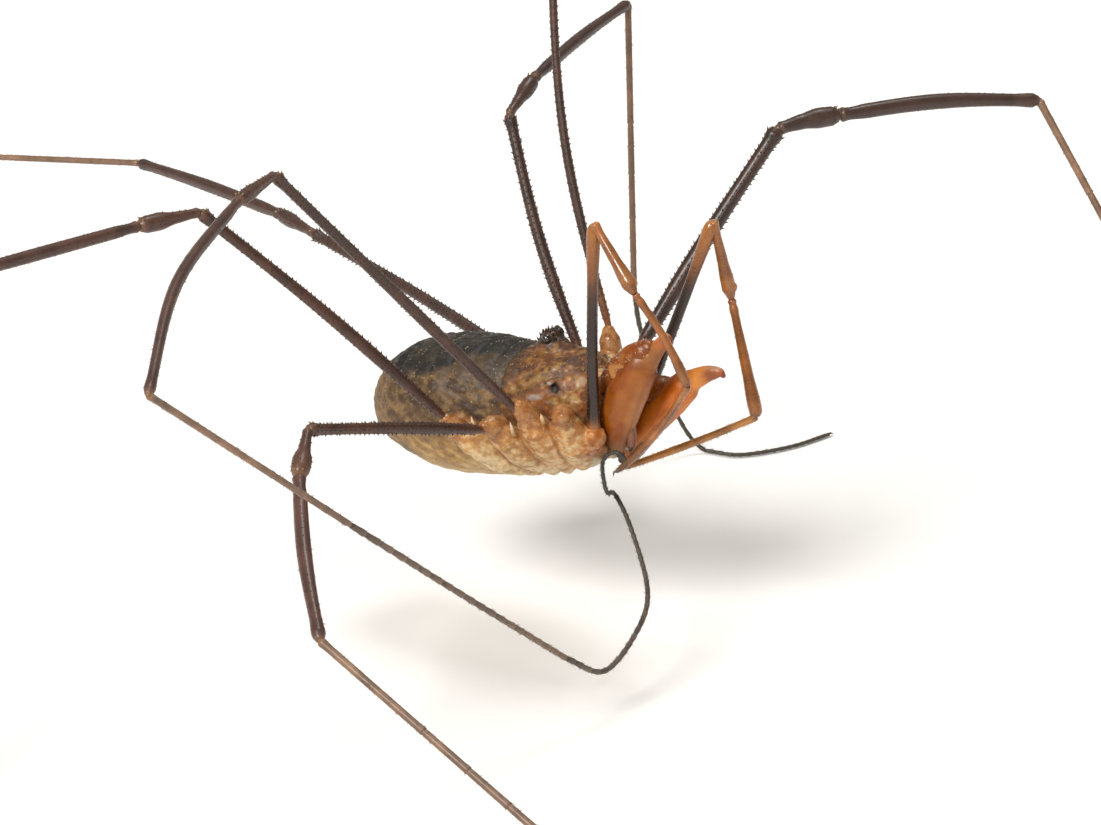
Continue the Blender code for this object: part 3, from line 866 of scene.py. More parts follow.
def body_paint(V, N, move):
    x, y, z = V.T
    s = np.abs(y)
    near, second, which = limb_fields(V)
    knob = knob_field(V)
    n1, n2, n3 = fbm(V, 0.55, 3, 41), fbm(V, 0.16, 3, 42), \
        fbm(V, 0.07, 2, 43)
    slant = hide_slant(V)
    creases = ridged(slant, 0.30, 3, 23)
    n4 = fbm(slant, 0.34, 3, 44)
    n5 = fbm(V, 0.11, 3, 45)
    # flanks: olive brown, mottled, paling downwards
    col = mix(OLIVE, DUN, step(-0.3, 0.3, n1 + 0.3 * n2))
    col = mix(col, TAN, step(0.10, 0.45, n2 + 0.4 * n4) * 0.60)
    col = mix(col, UMBER, step(0.02, 0.35, -n4 - 0.2 * n2) * 0.75)
    col = mix(col, (66, 48, 34), step(0.12, 0.4, -n4 + 0.3 * n3) * 0.45)
    col = mix(col, UMBER, step(0.50, 0.85, creases) * 0.55)
    col = mix(col, (150, 122, 82), step(0.14, 0.36, n5 + 0.3 * n4) * 0.5)
    col = mix(col, (62, 46, 32), step(0.14, 0.36, -n5 - 0.3 * n4) * 0.5)
    t = 1 - step(-0.75, 0.20, z + 0.30 * n4 + 0.10 * x)
    col = mix(col, mix(TAN, STRAW, step(-0.2, 0.4, n2)), t * 0.75)
    t = 1 - step(-1.35, -0.55, z + 0.30 * n1)
    col = mix(col, CREAM, t * 0.75)
    # slanting folds
    low = (1 - step(-0.25, 0.35, z + 0.3 * x)) * step(-2.6, -1.9, x) \
        * (1 - step(1.0, 1.5, x))
    low = low * step(-1.75, -1.1, x)
    bend = z + 0.80 * x + 0.20 * fbm(V, 0.6, 2, 27)
    wave = np.sin(bend * 2 * np.pi / 0.33)
    fine = np.sin(bend * 2 * np.pi / 0.115 + 20 * fbm(V, 0.9, 2, 5) * 0.1)
    broken = low * step(-0.35, 0.35, fbm(V, 0.35, 3, 46))
    col = mix(col, (162, 124, 78), broken * step(0.1, 0.9, -wave) * 0.40)
    col = mix(col, (226, 202, 152), broken * step(0.2, 1.0, wave) * 0.35)
    col = mix(col, (176, 140, 92), broken * step(0.2, 1.0, -fine) * 0.20)
    # rear end
    t = (1 - step(-2.75, -2.25, x + 0.2 * n1)) * (1 - step(1.2, 1.5, z))
    col = mix(col, mix(TAN, OLIVE, step(-0.2, 0.4, n2)), t * 0.8)
    # dark saddle
    w = np.interp(x, [-2.75, -2.50, -2.24, -1.67, -0.75, -0.20, 0.20,
                      0.70, 1.10, 1.42],
                  [0.0, 0.45, 0.90, 1.42, 1.44, 1.16, 0.86, 0.70, 0.62,
                   0.30])
    edge = s + 0.30 * n1 + 0.16 * n2 + 0.10 * n4
    saddle = (1 - step(w - 0.20, w + 0.12, edge)) * step(0.3, 0.7, z) \
        * (1 - step(1.10, 1.48, x + 0.15 * n1))
    # paler brown cloak round the black, reaching down at the front
    w2 = np.interp(x, [-2.6, -1.8, -0.4, 0.2, 0.6, 1.1, 1.45],
                   [0.3, 1.46, 1.50, 1.42, 1.40, 1.36, 1.1])
    cloak = (1 - step(w2 - 0.12, w2 + 0.10, s + 0.16 * n1 + 0.12 * n2)) \
        * step(0.35, 0.8, z + 0.2 * n1) * (1 - step(1.05, 1.6, x + 0.2 * n5))
    col = mix(col, mix((92, 76, 56), (64, 54, 44), step(-0.2, 0.3, n4)),
              cloak * 0.85)
    dark = mix(SOOT, INK, step(-0.1, 0.4, n1)) * 0.88
    dark = mix(dark, (74, 66, 52), step(0.10, 0.5, n4) * 0.5)
    dark = mix(dark, (88, 76, 58), step(0.12, 0.36, n5 + 0.3 * n2) * 0.45)
    rim = np.exp(-((edge - w + 0.12) / 0.14) ** 2)
    dark = mix(dark, (26, 27, 32), rim * 0.6)
    col = mix(col, dark, saddle * 0.92)
    # carapace
    front = step(1.00, 1.50, x + 0.22 * n1 + 0.25 * n5)
    top = front * step(0.95, 1.2, z)
    cap = mix(RUST, (132, 88, 44), step(-0.3, 0.4, n2))
    cap = mix(cap, (78, 46, 24), step(0.0, 0.3, -n1 - 0.4 * n5) * 0.75)
    cap = mix(cap, (166, 128, 76), step(0.10, 0.32, n5 + 0.4 * n4) * 0.6)
    cap = mix(cap, (60, 38, 22), step(0.14, 0.34, -n5) * 0.65)
    cap = mix(cap, (70, 54, 38), (1 - step(1.35, 1.8, x)) * 0.55)
    col = mix(col, cap, top)
    side = front * (1 - step(0.95, 1.2, z)) * step(-0.3, 0.2, z)
    flank = mix(AMBER, (128, 88, 48), step(-0.3, 0.3, n2))
    flank = mix(flank, (184, 150, 92), step(0.0, 0.4, n1 + 0.3 * n5) * 0.6)
    flank = mix(flank, (98, 60, 30), step(0.10, 0.34, -n5 - 0.3 * n2) * 0.6)
    flank = mix(flank, (204, 176, 126), step(0.18, 0.38, n5) * 0.45)
    col = mix(col, flank, side)
    for sd in (-1, 1):
        ridge, along = to_line(V, [(1.45, sd * 1.30, 0.80),
                                   (2.10, sd * 1.10, 1.02),
                                   (2.75, sd * 0.62, 1.30)])
        col = mix(col, (170, 142, 90),
                  np.exp(-((ridge + 0.07 * n2) / 0.12) ** 2)
                  * step(-0.4, 0.15, n5 + 0.4 * n2) * 0.70)
        ridge, along = to_line(V, [(1.60, sd * 1.12, 1.06),
                                   (2.20, sd * 0.82, 1.26)])
        col = mix(col, (168, 132, 84), np.exp(-(ridge / 0.05) ** 2) * 0.5)
        under, _ = to_line(V, [(1.45, sd * 1.36, 0.62),
                               (2.10, sd * 1.24, 0.84),
                               (2.80, sd * 0.86, 1.10)])
        col = mix(col, (86, 62, 40), np.exp(-(under / 0.06) ** 2) * 0.6)
    # coxae: cream below to amber at the knob, brown seams
    on = (1 - step(0.04, 0.20, near)) * (1 - step(0.75, 1.1, z))
    high = step(-1.1, 0.1, z + 0.15 * n1)
    coxa = mix((232, 204, 160), (210, 160, 100), high)
    coxa = mix(coxa, (180, 120, 68), step(-0.55, 0.10, z + 0.2 * n1) * .85)
    coxa = mix(coxa, (240, 218, 180), step(0.05, 0.4, n2) * 0.45)
    coxa = mix(coxa, (146, 100, 60), step(0.05, 0.4, -n4) * 0.50)
    coxa = mix(coxa, (188, 150, 104), step(0.1, 0.4, n1) * 0.35)
    first = (which % 4 == 0) | (which % 4 == 1)
    coxa = np.where(first[:, None], mix(coxa, (206, 140, 76), 0.30), coxa)
    coxa = mix(coxa, (246, 228, 192), step(0.06, 0.30, n5) * 0.50)
    coxa = mix(coxa, (158, 108, 64), step(0.08, 0.32, -n5 - 0.2 * n2) * .40)
    col = mix(col, coxa, on)
    seam = np.exp(-((second - near) / 0.07) ** 2) \
        * (1 - step(0.08, 0.26, near)) * (1 - step(0.7, 1.1, z)) \
        * step(-1.5, -0.9, z)
    col = mix(col, (158, 104, 56), seam * 0.75)
    # knobs
    ball = 1 - step(0.0, 0.05, knob)
    ball = 1 - step(-0.03, 0.09, knob + 0.04 * n2)
    tone = mix((180, 128, 84), (150, 98, 58), step(-0.1, 0.35, n2))
    tone = mix(tone, (212, 168, 118), step(-0.1, 0.35, n5) * 0.45)
    col = mix(col, tone, ball * 0.92)
    col = mix(col, (128, 82, 44), np.exp(-((knob - 0.045) / 0.03) ** 2)
              * (1 - step(0.08, 0.2, np.abs(near))) * 0.35)
    wet = ball * 0.85
    # palp knob, plates over the jaws, mouth lobes, scent gland
    for sd in (-1, 1):
        d, _ = to_line(V, [(3.46, sd * 1.02, -0.62),
                           (3.60, sd * 1.14, -0.26)])
        tone = mix((174, 108, 58), (208, 156, 104), step(-0.1, 0.3, n2))
        palp_knob = 1 - step(0.30, 0.46, d)
        wet = np.maximum(wet, palp_knob)
        col = mix(col, tone, palp_knob)
        d = np.linalg.norm(V - (3.40, sd * 0.66, -0.90), axis=1)
        col = mix(col, mix((168, 130, 90), (120, 84, 56),
                           step(-0.1, 0.3, n3)),
                  (1 - step(0.22, 0.34, d)) * 0.85 * (1 - palp_knob))
        d = np.linalg.norm(V - (3.52, sd * 0.34, -1.05), axis=1)
        col = mix(col, (206, 192, 166), (1 - step(0.16, 0.26, d)) * 0.8)
        d = np.linalg.norm((V - (3.52, sd * 0.32, 0.93))
                           / (0.24, 0.28, 0.13), axis=1)
        col = mix(col, (202, 168, 124), 1 - step(0.8, 1.1, d))
        wet = np.maximum(wet, 0.8 * (1 - step(0.8, 1.2, d)))
        d, _ = to_line(V, [(3.0, sd * 0.42, -1.25),
                           (3.40, sd * 0.36, -1.12)])
        col = mix(col, (226, 214, 190), 1 - step(0.14, 0.26, d))
        d = np.linalg.norm((V - (2.66, sd * 1.10, 0.78))
                           / (0.19, 0.22, 0.20), axis=1) + 0.2 * n3
        col = mix(col, (92, 56, 34), (1 - step(0.7, 1.2, d)) * 0.7)
        d = np.linalg.norm((V - (2.65, sd * 1.10, 0.78))
                           / (0.105, 0.16, 0.14), axis=1) + 0.15 * n3
        col = mix(col, (46, 30, 20), 1 - step(0.70, 1.20, d + 0.3 * n5))
        # painted highlight: a bluish-white glint on the lid above the scent
        # gland, made glossier too
        d = np.linalg.norm((V - (2.53, sd * 1.08, 0.93))
                           / (0.13, 0.20, 0.06), axis=1) + 0.3 * n5
        col = mix(col, (214, 218, 222), (1 - step(0.5, 1.1, d)) * 0.9)
        wet = np.maximum(wet, 1 - step(0.9, 1.6, d))
        # painted highlight: a pale grey shiny patch on the side of the
        # carapace, made glossier too
        d = np.linalg.norm((V - (2.12, sd * 1.26, 0.62))
                           / (0.29, 0.25, 0.095), axis=1) + 0.3 * n5
        col = mix(col, (190, 182, 178), (1 - step(0.5, 1.1, d)) * 0.8)
        wet = np.maximum(wet, 0.8 * (1 - step(0.6, 1.3, d)))
        # bright membrane above the palp
        d = np.linalg.norm((V - (3.22, sd * 0.78, 0.86))
                           / (0.16, 0.2, 0.14), axis=1)
        col = mix(col, (206, 190, 170), (1 - step(0.5, 1.1, d)) * 0.6)
    # eye hill: rusty foot, black top
    hill = np.linalg.norm((V - (OC["x"], 0, 1.72)) / (0.37, 0.33, 0.36),
                          axis=1)
    on_hill = 1 - step(0.98, 1.22, hill)
    tone = mix((92, 58, 34), (42, 31, 25), step(1.50, 1.84, z + 0.1 * n2))
    tone = mix(tone, (112, 74, 44), step(0.08, 0.3, n5) * 0.6)
    # painted highlight: a pale grey glint band round the eye hill below the
    # eyes
    tone = mix(tone, (198, 184, 168),
               (1 - step(0.0, 0.07, np.abs(z - 1.62 + 0.04 * n2)))
               * (1 - step(0.08, 0.18, np.abs(x - 2.00))) * 0.8)
    col = mix(col, tone, on_hill)
    wet = np.maximum(wet, on_hill * 0.6)
    wet = np.maximum(wet, 0.55 * front * step(0.16, 0.36, n5)
                     * step(-0.2, 0.2, z))
    wet = np.maximum(wet, 0.40 * on * step(0.12, 0.4, n5))
    # dark dot on the belly side
    for sd in (-1, 1):
        d = np.linalg.norm(V - (1.57, sd * 0.94, -1.33), axis=1)
        col = mix(col, (52, 40, 30), (1 - step(0.04, 0.09, d)) * 0.9)
    # painted shade in the hollows of the relief, painted highlight on its
    # crests
    col = mix(col, col * 0.62, step(0.012, 0.06, -move) * 0.6)
    col = mix(col, col * 1.14 + 6, step(0.012, 0.05, move) * 0.5)
    grey = (col @ np.array([0.30, 0.59, 0.11]))[:, None]
    col = grey + (col - grey) * 1.18
    return np.clip(col, 0, 255), wet


def nearest(P, V):
    """Index of the corner nearest to P."""
    return int(np.argmin(((V - P) ** 2).sum(axis=1)))


def body_point(x, angle):
    """A point on the plain body at x, angle round from the right side."""
    half, top, low = (np.interp(x, BODY[:, 0], BODY[:, k])
                      for k in (1, 2, 3))
    mid, high = (top + low) / 2, (top - low) / 2
    c, s = math.cos(angle), math.sin(angle)
    cy = math.copysign(abs(c) ** (2 / BODY_POWER), c)
    cz = math.copysign(abs(s) ** (2 / BODY_POWER), s)
    return np.array([x, -half * cy, mid + high * cz])


def body():
    V, F = union(body_shells(), 0.0405, 3)
    near, second, _ = limb_fields(V)
    valley = (1 - step(0.10, 0.34, second - near)) \
        * (1 - step(0.15, 0.40, near)) * (1 - step(0.0, 0.4, V[:, 2]))
    V = relax(V, F, 14, keep=False, weight=valley)
    N = normals(V, F)
    move = body_relief(V, N)
    V2 = V + N * move[:, None]
    N2 = normals(V2, F)
    C, wet = body_paint(V, N, move)
    p = Piece()
    p.add(V2, [tuple(f) for f in F], C)
    rng = np.random.default_rng(7)
    # pale warts in rows on each band, finer ones strewn between
    warts = []
    for row, at in enumerate(TERGITES):
        for k in range(46):
            a = math.pi * (0.06 + 0.88 * (k + rng.uniform(-0.3, 0.3)) / 45)
            x = at + 0.10 + 0.08 * math.cos(a) ** 2 + rng.normal(0, 0.035)
            if rng.uniform() < 0.55:
                warts.append((x, a, rng.uniform(0.018, 0.032)))
    for k in range(330):
        warts.append((rng.uniform(-2.9, 1.6),
                      math.pi * rng.uniform(0.03, 0.97),
                      rng.uniform(0.010, 0.020)))
    for k in range(130):
        warts.append((rng.uniform(1.5, 3.3),
                      math.pi * rng.uniform(0.12, 0.88),
                      rng.uniform(0.012, 0.024)))
    for x, a, r in warts:
        q = body_point(x, a)
        i = nearest(q, V2)
        if np.linalg.norm(V2[i] - q) > 0.12:
            continue
        base = C[i]
        pale = mix(base, (204, 188, 158), rng.uniform(0.30, 0.85))
        p.dome(V2[i], N2[i], r, r * 0.9, pale, 6)
    # spines on the eye hill
    for sd in (-1, 1):
        for k in range(7):
            f = k / 6
            q = np.array([OC["x"] - 0.27 + 0.54 * f, sd * 0.125,
                          OC["z"] + OC["height"] - 0.02
                          - 0.20 * (2 * f - 1) ** 2])
            i = nearest(q, V2)
            d = np.array([0.6 * (f - 0.45), sd * 0.35, 1.0])
            p.cone(V2[i] - unit(d) * 0.02, d, 0.13, 0.032, (36, 28, 24),
                   (120, 96, 70), 6)
        for k in range(5):
            q = np.array([OC["x"] - 0.2 + 0.1 * k, sd * 0.04,
                          OC["z"] + OC["height"]])
            i = nearest(q, V2)
            p.cone(V2[i] - N2[i] * 0.01, N2[i] + (0, 0, 0.4), 0.07, 0.022,
                   (40, 32, 28), (110, 88, 64), 5)
    # teeth at the ends of the coxae and on the knobs
    for sd in (-1, 1):
        for number in (2, 3, 4):
            t = trochanter(number, sd)
            for fx in (-0.34, 0.34):
                if number == 2 and fx < 0:
                    continue
                q = t + np.array([fx, -sd * 0.16, -0.20])
                i = nearest(q, V2)
                p.cone(V2[i] - (0, 0, 0.10), (0.25 * fx, sd * 0.30, 1.0),
                       0.42 if number > 2 else 0.28, 0.085,
                       (206, 160, 108), (238, 214, 176), 8)
        for number in (1, 2, 3, 4):
            t = trochanter(number, sd)
            for k in range(12):
                a = rng.uniform(0, 2 * np.pi)
                d = unit(np.array([math.cos(a), sd * 0.5,
                                   math.sin(a)]))
                i = nearest(t + d * 0.34, V2)
                p.cone(V2[i] - N2[i] * 0.01, N2[i], 0.045, 0.020,
                       (190, 134, 84), (224, 190, 150), 5)
        # small teeth on the rims and along the front edge of the carapace
        for k in range(9):
            q = np.array([3.50 - 0.02 * k, sd * (0.12 + 0.07 * k),
                          1.06 + 0.02 * k])
            i = nearest(q, V2)
            p.cone(V2[i] - N2[i] * 0.01, N2[i] + (0.5, 0, 0.2), 0.05,
                   0.022, (206, 164, 112), (232, 206, 168), 5)
    # granules on the coxae
    for sd in (-1, 1):
        for number in (1, 2, 3, 4):
            base, flank, end = coxa_line(number, sd)
            for k in range(46):
                f = rng.uniform(0.1, 0.95)
                c = base + (flank - base) * min(f * 2, 1) \
                    + (end - flank) * max(f * 2 - 1, 0)
                q = c + np.array([rng.uniform(-0.36, 0.36), sd * 0.36,
                                  rng.uniform(-0.3, 0.1)])
                i = nearest(q, V2)
                r = rng.uniform(0.010, 0.018)
                p.dome(V2[i], N2[i], r, r * 0.9,
                       mix(C[i], (240, 224, 194), 0.6), 5)
    names = ["abdomen", "carapace"] + [
        "trochanter_%s_%d" % (w, k) for w in ("left", "right")
        for k in (1, 2, 3, 4)]
    skin = p.build("body_skin", BODY_MAT, names, "carapace",
                   body_frame=True)
    share = np.zeros(len(skin.data.vertices), dtype=np.float32)
    share[:len(V2)] = wet
    skin.data.attributes.new("wet", 'FLOAT', 'POINT').data.foreach_set(
        "value", share)
    return skin


def eyes():
    for side, word in ((-1, "right"), (1, "left")):
        c = mirror((EYE_AT[0], -EYE_AT[1], EYE_AT[2]), side)
        V, F = shell_ball((0, 0, 0), (EYE_RADIUS, EYE_RADIUS * 0.98,
                                      EYE_RADIUS), 18, 28)
        d = V @ np.array([0, side, 0.15]) / EYE_RADIUS
        C = mix((16, 12, 10), (34, 24, 18), step(0.2, 0.9, d))
        p = Piece()
        p.add(V + c, F, C)
        p.build("eye_ball_" + word, EYE_MAT, ["eye_" + word], "eye",
                body_frame=True)


# ------------------------------------------------------------ jaws
JAWS = {
    "right": dict(
        base=[(3.80, -0.44, 0.72, 0.28), (4.24, -0.50, 1.04, 0.40),
              (4.80, -0.54, 1.42, 0.38), (5.16, -0.55, 1.64, 0.24)],
        hand=[(5.22, -0.56, 1.42, 0.26), (5.02, -0.56, 1.22, 0.42),
              (4.60, -0.56, 0.62, 0.47), (4.22, -0.54, -0.02, 0.42),
              (4.02, -0.50, -0.50, 0.28), (3.93, -0.46, -0.84, 0.17),
              (3.88, -0.42, -1.10, 0.10)],
        horn=[(5.16, -0.56, 1.36, 0.20), (5.52, -0.56, 1.72, 0.17),
              (5.86, -0.56, 1.88, 0.06)],
        finger=[(4.22, -0.50, -0.40, 0.16), (4.20, -0.46, -0.72, 0.12),
                (4.08, -0.42, -1.02, 0.07)]),
    "left": dict(
        base=[(3.66, 0.44, 0.36, 0.28), (4.20, 0.50, 0.30, 0.37),
              (4.75, 0.50, 0.26, 0.36), (5.10, 0.50, 0.24, 0.24)],
        hand=[(5.62, 0.50, 0.56, 0.22), (5.38, 0.50, 0.38, 0.38),
              (4.90, 0.50, 0.02, 0.43), (4.32, 0.50, -0.46, 0.39),
              (3.86, 0.48, -0.92, 0.26), (3.50, 0.44, -1.28, 0.16),
              (3.24, 0.40, -1.52, 0.10)],
        horn=[(5.50, 0.50, 0.48, 0.24), (6.05, 0.50, 0.68, 0.19),
              (6.52, 0.50, 0.68, 0.06)],
        finger=[(3.98, 0.46, -1.06, 0.16), (3.62, 0.43, -1.42, 0.12),
                (3.20, 0.40, -1.70, 0.07)]),
}
JAW, JAW_DEEP = (154, 76, 6), (128, 60, 5)


HAND_SWELL = {"right": (1.0, 1.08, 1.12, 1.16, 1.36, 1.55, 1.2),
              "left": (1.02, 1.02, 1.02, 1.02, 1.02, 1.02, 1.02)}


def tabled(rows, grow=0.0):
    return [np.array(r[:3]) for r in rows], [r[3] + grow for r in rows]


def jaws():
    voxel = 0.028
    for word, jaw in JAWS.items():
        sd = -1 if word == "right" else 1
        # base article
        pts, rad = tabled(jaw["base"])
        shells = [shell_tube(pts, rad, squash=0.92)]
        # swollen end that holds the hand
        shells.append(shell_ball(pts[-1] * 0.6 + pts[-2] * 0.4,
                                 (0.30, 0.31, 0.29)))
        V, F = union(shells, voxel, 6)
        N = normals(V, F)
        d, t = to_line(V, pts)
        n = fbm(V, 0.12, 3, 61)
        move = 0.012 * n + 0.010 * np.sin(t * 22) * step(0.8, 1.0, t)
        C = mix(JAW, JAW_DEEP, step(-0.2, 0.5, n) * 0.7)
        C = mix(C, (214, 158, 100), step(0.2, 0.5, fbm(V, 0.3, 2, 62)) * .4)
        C = mix(C, (132, 72, 34), (1 - step(0.0, 0.2, t)) * 0.5)
        # pale glossy flap on the outer side, and a painted highlight on the
        # thin joint skin above it
        q = np.array([0.02, 0.06 * sd, 0.05]) + (
            (4.36, -0.86, 1.20) if sd < 0 else (4.30, 0.84, 0.36))
        d2, t2 = to_line(V, [q + (-0.24, 0, 0.04), q + (0.28, 0, 0.04)])
        d3, t3 = to_line(V, [q + (-0.16, 0, 0.0), q + (-0.10, 0, -0.20)])
        d2 = np.minimum(d2 + 0.10 * t2, d3 + 0.04 * t3)
        flap = 1 - step(0.10, 0.18, d2)
        C = mix(C, (214, 160, 100), flap * 0.7)
        move += 0.045 * flap
        # painted highlight: a pale grey strip on the joint skin above the flap
        d2, _ = to_line(V, [q + (-0.30, 0, 0.18), q + (-0.05, 0, 0.24)])
        C = mix(C, (196, 178, 158), (1 - step(0.05, 0.13, d2)) * 0.7)
        V = V + N * move[:, None]
        p = Piece()
        p.add(V, [tuple(f) for f in F], C)
        rng = np.random.default_rng(11 + sd)
        for k in range(150):
            i = rng.integers(0, len(V))
            if N[i][2] < -0.1:
                continue
            p.cone(V[i] - N[i] * 0.008, N[i] + (0.4, 0, 0), 0.040, 0.020,
                   (206, 150, 96), (238, 220, 190), 5)
        p.build("jaw_arm_" + word, JAW_MAT, ["jaw_base_" + word], "jaw",
                body_frame=True)
        # hand with its horn and fixed finger
        pts, rad = tabled(jaw["hand"])
        hp, hr = tabled(jaw["horn"])
        tip = hp[-1] + np.array([-0.02, 0, -0.04])
        horn = [hp[0], hp[1], hp[2] + (-0.12, 0, 0.035), tip]
        swell = HAND_SWELL[word]
        back = np.array([-0.17 if sd < 0 else 0.0, 0.0, 0.0])
        wide = [q + back * b for q, b in zip(pts, (0.3, .7, 1, 1, 1, .9,
                                                   .6))]
        shells = [shell_tube(wide, [r * k for r, k in zip(rad, swell)],
                             squash=0.92),
                  shell_tube(horn, [hr[0] * 1.2, hr[1] * 1.1, 0.13, 0.070],
                             squash=0.85)]
        # web between horn and hand
        shells.append(shell_tube([pts[2], hp[1] * 0.5 + pts[1] * 0.5],
                                 [0.36, 0.22], squash=0.8))
        V, F = union(shells, voxel, 4)
        N = normals(V, F)
        d, t = to_line(V, pts)
        dh, th = to_line(V, horn)
        n = fbm(V, 0.10, 3, 63)
        m = fbm(V, 0.45, 2, 64)
        fp, fr = tabled(jaw["finger"])
        seam, _ = to_line(V, [pts[3] * 0.4 + fp[0] * 0.6 + (0.1, 0, 0.1),
                              fp[0], fp[1]])
        move = 0.006 * n
        C = mix(JAW, (172, 96, 22), step(-0.1, 0.5, m))
        C = mix(C, JAW_DEEP, step(0.1, 0.6, -m) * 0.5)
        # painted light: a pale band on the lower front face where the thin
        # wall glows, stronger on the right jaw
        axis_pos = np.array([np.interp(t, np.linspace(0, 1, len(pts)),
                                       [q[k] for q in pts])
                             for k in range(3)]).T
        rel = (V - axis_pos)
        face = rel @ unit(np.array([0.75, 0.0, -0.65]))
        band = step(0.10, 0.26, face) * step(0.15, 0.35, t) \
            * (1 - step(0.80, 0.95, t))
        C = mix(C, (204, 138, 78), band * (0.65 if sd < 0 else 0.25))
        C = mix(C, (228, 196, 150), (1 - step(0.0, 0.18, t)) * 0.25)
        # horn: painted highlight along its upper side, reddish tip
        on_horn = (1 - step(0.02, 0.12, dh - 0.16)) * step(0.25, 0.5, th)
        C = mix(C, (196, 104, 56), on_horn * 0.8)
        C = mix(C, (232, 186, 140), on_horn * step(0.3, 0.8, N[:, 2]) * .6)
        C = mix(C, (150, 66, 36), on_horn * step(0.85, 1.0, th) * 0.8)
        # dark finger end and a groove beside the moving finger
        C = mix(C, (148, 104, 74), step(0.66, 0.84, t) * (1 - on_horn)
                * 0.6)
        C = mix(C, (40, 28, 24), step(0.93, 1.0, t) * (1 - on_horn) * 0.9)
        back = rel @ unit(np.array([0.65, 0.0, -0.75]))
        groove = np.exp(-((back - 0.55 * np.interp(
            t, np.linspace(0, 1, len(rad)), rad)) / 0.035) ** 2) \
            * step(0.35, 0.5, t) * (1 - step(0.86, 0.95, t))
        if sd > 0:
            move -= 0.014 * groove
            C = mix(C, (116, 66, 34), groove * 0.30)
        V = V + N * move[:, None]
        # painted light: the left jaw, which lies in the right jaw's shade, is
        # painted lighter, less so on its horn
        if sd > 0:
            C = C * (1.34 - 0.46 * np.clip(on_horn, 0, 1))[:, None]
        C = np.clip(C, 0, 255)
        p = Piece()
        p.add(V, [tuple(f) for f in F], C)
        # moving finger
        fin = [fp[0] + (fp[0] - fp[1]) * 0.9, fp[0], fp[1], fp[2]]
        path = catmull(fin, 8)
        line = Line(path)
        s = line.S
        u = s / line.length
        r = np.interp(u, [0, 0.15, 0.4, 0.8, 1.0],
                      [0.12, fr[0] * 1.08, fr[0], fr[1] * 0.85, 0.03])
        col = np.array([mix((168, 104, 64), (138, 92, 72), a * 1.2)
                        if a < 0.8 else mix((110, 70, 54), (24, 18, 16),
                                            min((a - 0.8) * 6, 1))
                        for a in u])
        p.tube(line, s, r, col, 16)
        # teeth facing between the fingers
        P, T, U, W = line.frames(s)
        for k in range(len(s) // 3, len(s) - 2, 2):
            q = P[k]
            to = np.array([np.interp(0.9, np.linspace(0, 1, len(pts)),
                                     [a[m2] for a in pts])
                           for m2 in range(3)]) - q
            to = unit(to - T[k] * (to @ T[k]))
            p.cone(q + to * r[k] * 0.8, to, 0.06, 0.026, (60, 40, 32),
                   (18, 14, 12), 6)
        # small warts on the upper hand
        rng = np.random.default_rng(21 + sd)
        for k in range(110):
            i = rng.integers(0, len(V))
            if t[i] > 0.45 or N[i][2] < -0.2:
                continue
            p.cone(V[i] - N[i] * 0.008, N[i], 0.026, 0.014,
                   C[i], mix(C[i], (244, 226, 196), 0.7), 5)
        for k in range(60):
            i = rng.integers(0, len(V))
            if t[i] < 0.3:
                continue
            p.cone(V[i] - N[i] * 0.005, N[i] + (0, 0, -0.6), 0.09, 0.006,
                   (150, 110, 70), (190, 160, 120), 3)
        p.build("jaw_claw_" + word, JAW_MAT, ["jaw_hand_" + word], "jaw",
                body_frame=True)


